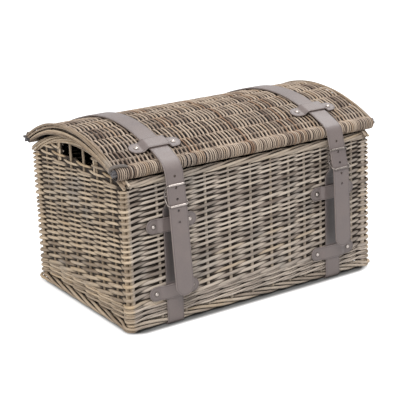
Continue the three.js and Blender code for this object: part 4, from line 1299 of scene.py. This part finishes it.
def strapSet(name, side):
    place = side["place"]
    lean, bend, at = dropRun(side)

    def strip(label, path, halfWidths=strapHalf):
        return stripPiece(name + label, path, halfWidths, straps["thick"],
                          lambda local: np.column_stack([place + local[:, 2], local[:, :2]]))

    def bent(piece, node, first, second, start, end):
        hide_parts(f"{name}_{node}")
        tuple(toFrame((place, *start)))
        tuple(toFrame((place, *end)))
        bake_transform(piece)

    # the back: from under the keeper on the back wall, round the hinge roll, on to the lid
    crestEnd, landed = (strapCrest - angle for angle in straps["lift"])
    wrap = arcPoints(rollPlace, rollHeight, wrapRadius, quarter, strapCrest, 14)
    crest = arcPoints(0, strapMiddle, onLid, strapCrest, crestEnd, 4)
    rise = [(strapLine, straps["splice"]), (strapLine, rimBottom - straps["leave"])]
    back = strip("BackStrap", evenPath(np.vstack([rise, wrap, crest[1:]])))
    bent(back, "back_strap", "basket", "lid", *(np.array([rollPlace, rollHeight]) + straps["backBend"]))

    # over the lid, to under its keeper
    keeperAngle = -math.asin(side["lidKeeper"] / lidRadius) * lidRadius / onLid
    angle = np.linspace(crestEnd, keeperAngle, 90)
    high = arcPoints(0, strapMiddle, onLid, crestEnd, keeperAngle, 90)
    low = arcPoints(0, lidMiddle, lidRadius + halfThick + straps["press"], crestEnd, keeperAngle, 90)
    over = strip("LidStrap", evenPath(high + (low - high) * smoothStep(crestEnd, landed, angle)[:, None]))
    dress(over, "lid", "leather", f"{name}_lid_strap")

    # from the lid keeper over the front roll and down through the buckle
    lead = arcPoints(0, strapMiddle, onLid, keeperAngle, -strapCrest, 20)
    bottom = at(0, dropBelow)
    drop = punchHoles(strip("StrapDrop", evenPath(np.vstack([lead[:-1], bend, bottom]))),
                      [(place, *at(0, down)) for down in holePlaces if down < dropBelow], -lean,
                      lambda points: strapHalf - np.abs(points[:, 0] - place))
    inward, above, end = straps["dropBend"]
    bent(drop, "strap_drop", "lid", f"{name}_drop", (inward - rollPlace, rollHeight + above), at(0, end))

    # the free end under the buckle
    tailLean = math.radians(side["tailLean"])
    way = np.array([-math.sin(tailLean), -math.cos(tailLean)])
    straight = side["tail"] - strapHalf
    lengths = np.concatenate([np.arange(0, straight, straps["step"]),
                              straight + strapHalf * np.cos(np.radians(np.linspace(90, 3, 22)))])
    tail = punchHoles(strip("StrapTail", bottom + lengths[:, None] * way, roundEnd(lengths - straight, strapHalf)),
                      [(place, *(bottom + (down - dropBelow) * way)) for down in holePlaces if down > dropBelow],
                      -tailLean,
                      lambda points: fromOutline((points[:, 1:] - bottom) @ way - straight, points[:, 0] - place,
                                                 strapHalf))
    bent(tail, "strap_tail", f"{name}_drop", f"{name}_tail", *(bottom + down * way for down in straps["tailBend"]))

    # from the buckle's centre bar down the front, under the base and up the back
    eye = at(-barBehind, 0)
    grip = buckle["wire"] + buckle["gap"] + halfThick - straps["eyeGrip"]
    loop = arcPoints(*eye, grip, *np.radians(straps["eye"]), 16)
    start = loop[-1]
    landing = np.array([-strapLine, (start[1] + 2 * (side["upperKeeper"] + keepers["width"] / 2)) / 3])
    lead = spline([start, start + (landing - start) * straps["sag"], landing], 8)
    corner, level = strapLine - straps["turn"], halfThick + straps["turn"]
    front = arcPoints(-corner, level, straps["turn"], -quarter, -2 * quarter, 10)
    rear = arcPoints(corner, level, straps["turn"], 2 * quarter, quarter, 10)
    end = (strapLine, straps["splice"] - straps["spliceGap"])
    lower = strip("LowerStrap", np.vstack([loop[:-1], evenPath(np.vstack([lead, front, rear, end]))]),
                  straps["girth"] / 2)
    # painted shadow of the tail on the lower strap, between the keepers and below the buckle
    points = vertexPlaces(lower.data) - (place, 0, 0)
    near, far = straps["dark"]
    between = smoothStep(side["lowerKeeper"] + near, side["lowerKeeper"] + far, points[:, 2])
    below = smoothStep(eye[1] - near, eye[1] - far, points[:, 2])
    outside, inside = straps["darkSide"]
    across = smoothStep(-strapHalf - outside, -strapHalf + inside, points[:, 0])
    setAttribute(lower.data, "covered", between * below * across * (points[:, 1] < 0))
    dress(lower, "basket", "leather", f"{name}_lower_strap")


for name, side in sides.items():
    strapSet(name, side)
print("straps laid")


# Keepers and rivets

rivets = {"head": 2.9, "dome": 1.8, "seat": 4.3, "seatThick": 1.0, "washer": 5.5, "washerThick": 1.2,
          "sunk": 0.2, "seatShade": 0.85}


def strapTopOnLid(angle):
    edge = keepers["width"] / 2 / lidRadius
    apart = lidMiddle - strapMiddle
    tops = [(math.sqrt((strapRadius + straps["thick"]) ** 2 - (apart * math.sin(a)) ** 2) - apart * math.cos(a))
            / math.cos(a - angle) - lidRadius for a in (angle - edge, angle + edge)]
    return max(tops)


def keeperPiece(name, seat, strapTop):
    low = keepers["gap"] + keepers["thick"] / 2
    shoulder = strapHalf + buckle["run"]
    radius = keepers["width"] / 2
    flat = keepers["length"] / 2 - radius
    places = np.concatenate([flat + radius * np.cos(np.radians(np.linspace(4, 90, 18))), np.linspace(flat, 0, 34)[1:]])
    places = np.concatenate([places, -places[::-1][1:]])
    heights = low + strapTop * smoothStep(shoulder + keepers["ramp"], shoulder, np.abs(places))

    def toPlace(local):
        raw = np.column_stack([local[:, 0], local[:, 2], local[:, 1], np.ones(len(local))])
        return (raw @ np.array(seat).T)[:, :3]
    return stripPiece(name, np.column_stack([places, heights]), roundEnd(np.abs(places) - flat, radius),
                      keepers["thick"], toPlace,
                      lambda local: fromOutline(np.abs(local[:, 0]) - flat, local[:, 2], radius))


def seatAt(x, y, z, angle):
    return Matrix.Translation((x, y, z)) @ Matrix.Rotation(angle, 4, "X")


rivetSeats = {"basket": [], "lid": []}
rivetNodes = {"basket": [], "lid": []}
onWallTop = buckle["run"] + straps["thick"]
for name, side in sides.items():
    x = side["place"]
    angle = math.asin(side["lidKeeper"] / lidRadius)
    onLidSeat = seatAt(x, -lidRadius * math.sin(angle), lidMiddle + lidRadius * math.cos(angle), angle)
    spots = {
        "upper": ("basket", seatAt(x, -halfDepth, side["upperKeeper"], quarter), onWallTop),
        "lower": ("basket", seatAt(x, -halfDepth, side["lowerKeeper"], quarter), onWallTop),
        "back": ("basket", seatAt(x, halfDepth, straps["splice"], -quarter), onWallTop),
        "lid": ("lid", onLidSeat, strapTopOnLid(angle)),
    }
    for spot, (body, seat, top) in spots.items():
        dress(keeperPiece(f"{name}{spot.capitalize()}Keeper", seat, top), body, "leather", f"{name}_{spot}_keeper")
        for end, hand in (("a", -1), ("b", 1)):
            rivetSeats[body].append(seat @ Matrix.Translation((hand * keepers["rivetSpan"] / 2, 0, 0)))
            rivetNodes[body].append(f"{name}_{spot}_rivet_{end}")


def metalGroup():
    tree, source, result = newGroup("platedSurface", "Shader", {"Color": ["Plate", "Tarnish", "Grime"]},
                                    {"Color": ["Colour"], "Float": ["Roughness"]})
    place = addPlace(tree)
    blotch = addRange(tree, addNoise(tree, 160.0, 4.0, Vector=place), 0.45, 0.8, 0.0, 0.6)
    # the second layer is painted shade, set per piece
    colour = addLayers(tree, source["Plate"], [("MIX", blotch, source["Tarnish"]),
                                               ("MIX", addAttribute(tree, "dull"), source["Grime"])])
    scuff = addNoise(tree, 900.0, 2.0, Vector=place)
    return closeGroup(tree, result, Colour=colour, Roughness=addRange(tree, scuff, 0.3, 0.7, 0.26, 0.4))


platedSurface = metalGroup()
prongSteel, brightWire = (
    skinMaterial(name, platedSurface, {"Plate": rgb(*plate), "Tarnish": rgb(*tarnish), "Grime": rgb(*paintedShade)},
                 {"Metallic": 1.0})
    for name, plate, tarnish, paintedShade in [("prongSteel", (96, 89, 84), (74, 68, 64), (60, 55, 52)),
                                        ("brightWire", (180, 171, 166), (132, 123, 117), (84, 77, 73))])


def rivetTree():
    tree, source, result = newGroup(
        "rivetHeads", "Geometry",
        {"Geometry": ["Places"], "Material": ["Metal"],
         "Float": ["Head", "Dome", "Seat", "Seat Thickness", "Under", "Shank", "Washer", "Washer Thickness"]},
        {"Geometry": ["Rivets"]})

    def disc(radius, depth, level):
        flat = addGeometry(tree, "MeshCylinder", Vertices=24, Radius=source[radius], Depth=source[depth])
        return addGeometry(tree, "Transform", Geometry=flat, Translation=level)

    under = addXyz(tree, 0.0, 0.0, source["Under"])
    ball = addGeometry(tree, "MeshUVSphere", Segments=24, Rings=12, Radius=1.0)
    girth = addXyz(tree, source["Head"], source["Head"], source["Dome"])
    head = addGeometry(tree, "Transform", Geometry=ball, Translation=under, Scale=girth)
    smooth = addGeometry(tree, "SetShadeSmooth", Geometry=head)
    # the seat ring round each head is darkened as painted shade
    seat = addStored(tree, disc("Seat", "Seat Thickness", under), "dull", rivets["seatShade"], "FLOAT")
    washer = disc("Washer", "Washer Thickness", addXyz(tree, 0.0, 0.0, source["Shank"]))
    whole = addGeometry(tree, "JoinGeometry")
    for part in (smooth, seat, washer):
        fill(tree, whole.inputs, {0: part})
    placed = addGeometry(tree, "InstanceOnPoints", Points=source["Places"], Instance=whole,
                         Rotation=addNamed(tree, "tilt", "FLOAT_VECTOR"))
    return closeGroup(tree, result, Rivets=addPainted(tree, placed, source["Metal"]))


rivetHeads = rivetTree()


def rivetPiece(body, through):
    seats = rivetSeats[body]
    spots = newMesh(f"{body}RivetPlaces", toFrame([tuple(seat.translation) for seat in seats]))
    layer = spots.attributes.new("tilt", "FLOAT_VECTOR", "POINT")
    layer.data.foreach_set("vector", np.array([tuple(seat.to_euler()) for seat in seats]).ravel())
    sizes = {"Head": rivets["head"], "Dome": rivets["dome"], "Seat": rivets["seat"],
             "Seat Thickness": rivets["seatThick"], "Under": 2 * keepers["gap"] + keepers["thick"] - rivets["sunk"],
             "Shank": -(through + keepers["gap"] + rivets["washerThick"] / 2), "Washer": rivets["washer"],
             "Washer Thickness": rivets["washerThick"]}
    return bakeNodes(addObject(f"{body}RivetPlaces", spots), f"{body}Rivets", rivetHeads,
                     {"Metal": brightWire, **{socket: size * mm for socket, size in sizes.items()}})


for body, through in (("basket", wallThick), ("lid", lidShape["thick"])):
    dress(rivetPiece(body, through), body, "bright_steel", *rivetNodes[body])
print("keepers riveted")


# Buckles: a bent wire frame with its centre bar, and rollers on its outer bars

def tubePiece(name, lines, radius, closed, dull, ring=12):
    vertices = []
    faces = []
    angle = math.tau * np.arange(ring)[:, None] / ring
    for points, loop in zip(lines, closed):
        points = np.asarray(points, dtype=float)
        ahead = np.roll(points, -1, axis=0) - np.roll(points, 1, axis=0) if loop else np.gradient(points, axis=0)
        ahead = unit(ahead)
        side = unit(np.cross(ahead, buckle["aside"]))
        up = np.cross(side, ahead)
        faces += tubeFaces(len(vertices), len(points), ring, loop)
        for p, s, u in zip(points, side, up):
            vertices += list(p + radius * (np.cos(angle) * s + np.sin(angle) * u))
    piece = meshPiece(name, vertices, faces, brightWire)
    tidyMesh(piece.data)
    setAttribute(piece.data, "dull", dull)
    return piece


def buckleLines(side):
    at = dropRun(side)[2]
    place = side["place"]
    x = strapHalf + buckle["gap"] + buckle["shownWire"]
    z = buckle["height"] / 2
    flat = roundedRing((-x, -z), (x, z), buckle["corner"], 7, (18, 10))
    out = (barBehind + barsForward) * (flat[:, 1] / z) ** 2 - barBehind
    ring = [(place + px, *at(forward, -pz)) for (px, pz), forward in zip(flat, out)]
    bar = [(place + px, *at(-barBehind, 0)) for px in np.linspace(-x, x, 8)]
    reach = x - buckle["corner"]
    rollers = [[(place + px, *at(barsForward, level)) for px in np.linspace(-reach, reach, 8)] for level in (-z, z)]
    return [ring, bar], rollers


for name, side in sides.items():
    wires, rollers = buckleLines(side)
    # the frame and rollers take painted shade, the right buckle's most
    frameShade, rollerShade = side["paintedShade"]
    dress(tubePiece(name + "BuckleFrame", wires, buckle["shownWire"], [True, False], frameShade),
          f"{name}_buckle", "bright_steel", f"{name}_buckle_frame")
    dress(tubePiece(name + "BuckleRollers", rollers, buckle["roller"], [False, False], rollerShade),
          f"{name}_buckle", "bright_steel")
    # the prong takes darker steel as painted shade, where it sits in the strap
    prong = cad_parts[f"{name}_buckle_prong"]
    prong.data.materials.clear()
    prong.data.materials.append(prongSteel)
print("buckles made")


# Studio

studio = {
    "azimuth": -32.7766, "elevation": 16.9362, "roll": -2.232, "distance": 1.8451, "lens": 103.49, "sensor": 36.0,
    "target": (0.00495, 0.0127958, 0.1296), "shift": (-0.0126, -0.0086),
    "sky": (0.97, 0.985, 1.0, 1), "skyStrength": 0.385,
    "floor": 8.0, "floorTones": [(0.6, 0.6, 0.6, 1), (0.64, 0.64, 0.64, 1)],
    "rounding": 0.02, "endInset": 0.007,  # of the outline that the painted contact shadow and the glow follow
    # contact darkens the floor's colour next to the basket as a painted contact shadow; closeGlow and farGlow set the
    # glow
    "contact": (0.003, 0.011, 0.42, 1.0), "closeGlow": (0.003, 0.012, 0.0, 0.6), "farGlow": (0.012, 0.3, 0.0, 0.24),
}
lamps = [  # name, place, target, size, power and colour
    ("keyLamp", (-0.95, -1.3, 1.45), (0, 0, 0.12), (1.0, 0.8), 28, (1.0, 0.99, 0.97)),
    ("topLamp", (0.95, 0.1, 1.9), (0, 0, 0.1), (1.2, 1.0), 29, (1.0, 1.0, 1.0)),
    ("sideLamp", (-2.2, 0.1, 1.0), (0, 0, 0.12), (1.2, 1.2), 10.5, (1.0, 0.97, 0.92)),
]


def addCamera():
    az, el, roll = (math.radians(studio[name]) for name in ("azimuth", "elevation", "roll"))
    back = Vector((math.sin(az) * math.cos(el), -math.cos(az) * math.cos(el), math.sin(el)))
    right = Vector((0, 0, 1)).cross(back).normalized()
    up = back.cross(right)
    across = math.cos(roll) * right + math.sin(roll) * up
    top = -math.sin(roll) * right + math.cos(roll) * up
    data = bpy.data.cameras.new("camera")
    data.lens = studio["lens"]
    data.sensor_width = studio["sensor"]
    data.shift_x, data.shift_y = studio["shift"]
    camera = addObject("camera", data)
    turn = Matrix((across, top, back)).transposed().to_4x4()
    camera.matrix_world = Matrix.Translation(Vector(studio["target"]) + studio["distance"] * back) @ turn
    scene.camera = camera


def addLamp(name, place, target, size, power, colour):
    data = bpy.data.lights.new(name, "AREA")
    data.shape = "RECTANGLE"
    data.size, data.size_y = size
    data.energy = power
    data.color = colour
    turn = (Vector(place) - Vector(target)).to_track_quat("Z", "Y").to_matrix().to_4x4()
    addObject(name, data).matrix_world = Matrix.Translation(place) @ turn


def seenDirectly(tree):
    path = addNode(tree, "ShaderNodeLightPath").outputs
    glossy = addMath(tree, "ADD", path["Is Camera Ray"], path["Is Glossy Ray"])
    return addMath(tree, "ADD", glossy, path["Is Transmission Ray"], clamp=True)


def addFloor():
    size = studio["floor"]
    mesh = newMesh("floor", [(-size, -size, 0), (size, -size, 0), (size, size, 0), (-size, size, 0)],
                   faces=[(0, 1, 2, 3)])
    material, tree, shader = newMaterial("studioFloor")
    place = addPlace(tree)
    colour = addMix(tree, "MIX", addNoise(tree, 30.0, 2.0, Vector=place), *studio["floorTones"])
    # the floor glows white a little way out and keeps the real shadow close to the basket, where a painted contact
    # shadow also darkens its colour
    spot = addNode(tree, "ShaderNodeSeparateXYZ", {0: place}).outputs
    past = []
    for along, reach in [(spot[0], halfLength * mm - studio["endInset"]),
                         (addMath(tree, "SUBTRACT", spot[1], bodyShift * mm), halfDepth * mm)]:
        beyond = addMath(tree, "SUBTRACT", addMath(tree, "ABSOLUTE", along), reach - studio["rounding"])
        past.append(addMath(tree, "MAXIMUM", beyond, 0.0))
    outside = addVector(tree, "LENGTH", addXyz(tree, *past)).outputs["Value"]
    away = addMath(tree, "SUBTRACT", outside, studio["rounding"])
    contact, close, far = (addRange(tree, away, *studio[name], smooth=False)
                           for name in ("contact", "closeGlow", "farGlow"))
    fill(tree, shader, {"Base Color": addMix(tree, "MULTIPLY", 1.0, colour, contact), "Roughness": 0.9,
                        "Specular IOR Level": 0.1})
    strength = addMath(tree, "MULTIPLY", seenDirectly(tree), addMath(tree, "ADD", close, far))
    glow = addNode(tree, "ShaderNodeEmission", {"Color": (1, 1, 1, 1), "Strength": strength})
    both = addNode(tree, "ShaderNodeAddShader", {0: tree.nodes["Principled BSDF"], 1: glow})
    fill(tree, tree.nodes["Material Output"].inputs, {"Surface": both})
    mesh.materials.append(material)
    addObject("floor", mesh)


def addWorld():
    world = bpy.data.worlds.new("studio")
    world.use_nodes = True
    tree = world.node_tree
    tree.nodes.clear()
    lit = addNode(tree, "ShaderNodeBackground", {"Color": studio["sky"], "Strength": studio["skyStrength"]})
    white = addNode(tree, "ShaderNodeBackground", {"Color": (1, 1, 1, 1), "Strength": 1.0})
    mix = addNode(tree, "ShaderNodeMixShader", {0: seenDirectly(tree), 1: lit, 2: white})
    addNode(tree, "ShaderNodeOutputWorld", {"Surface": mix})
    scene.world = world


addCamera()
addWorld()
addFloor()
for lamp in lamps:
    addLamp(*lamp)
print("studio set")
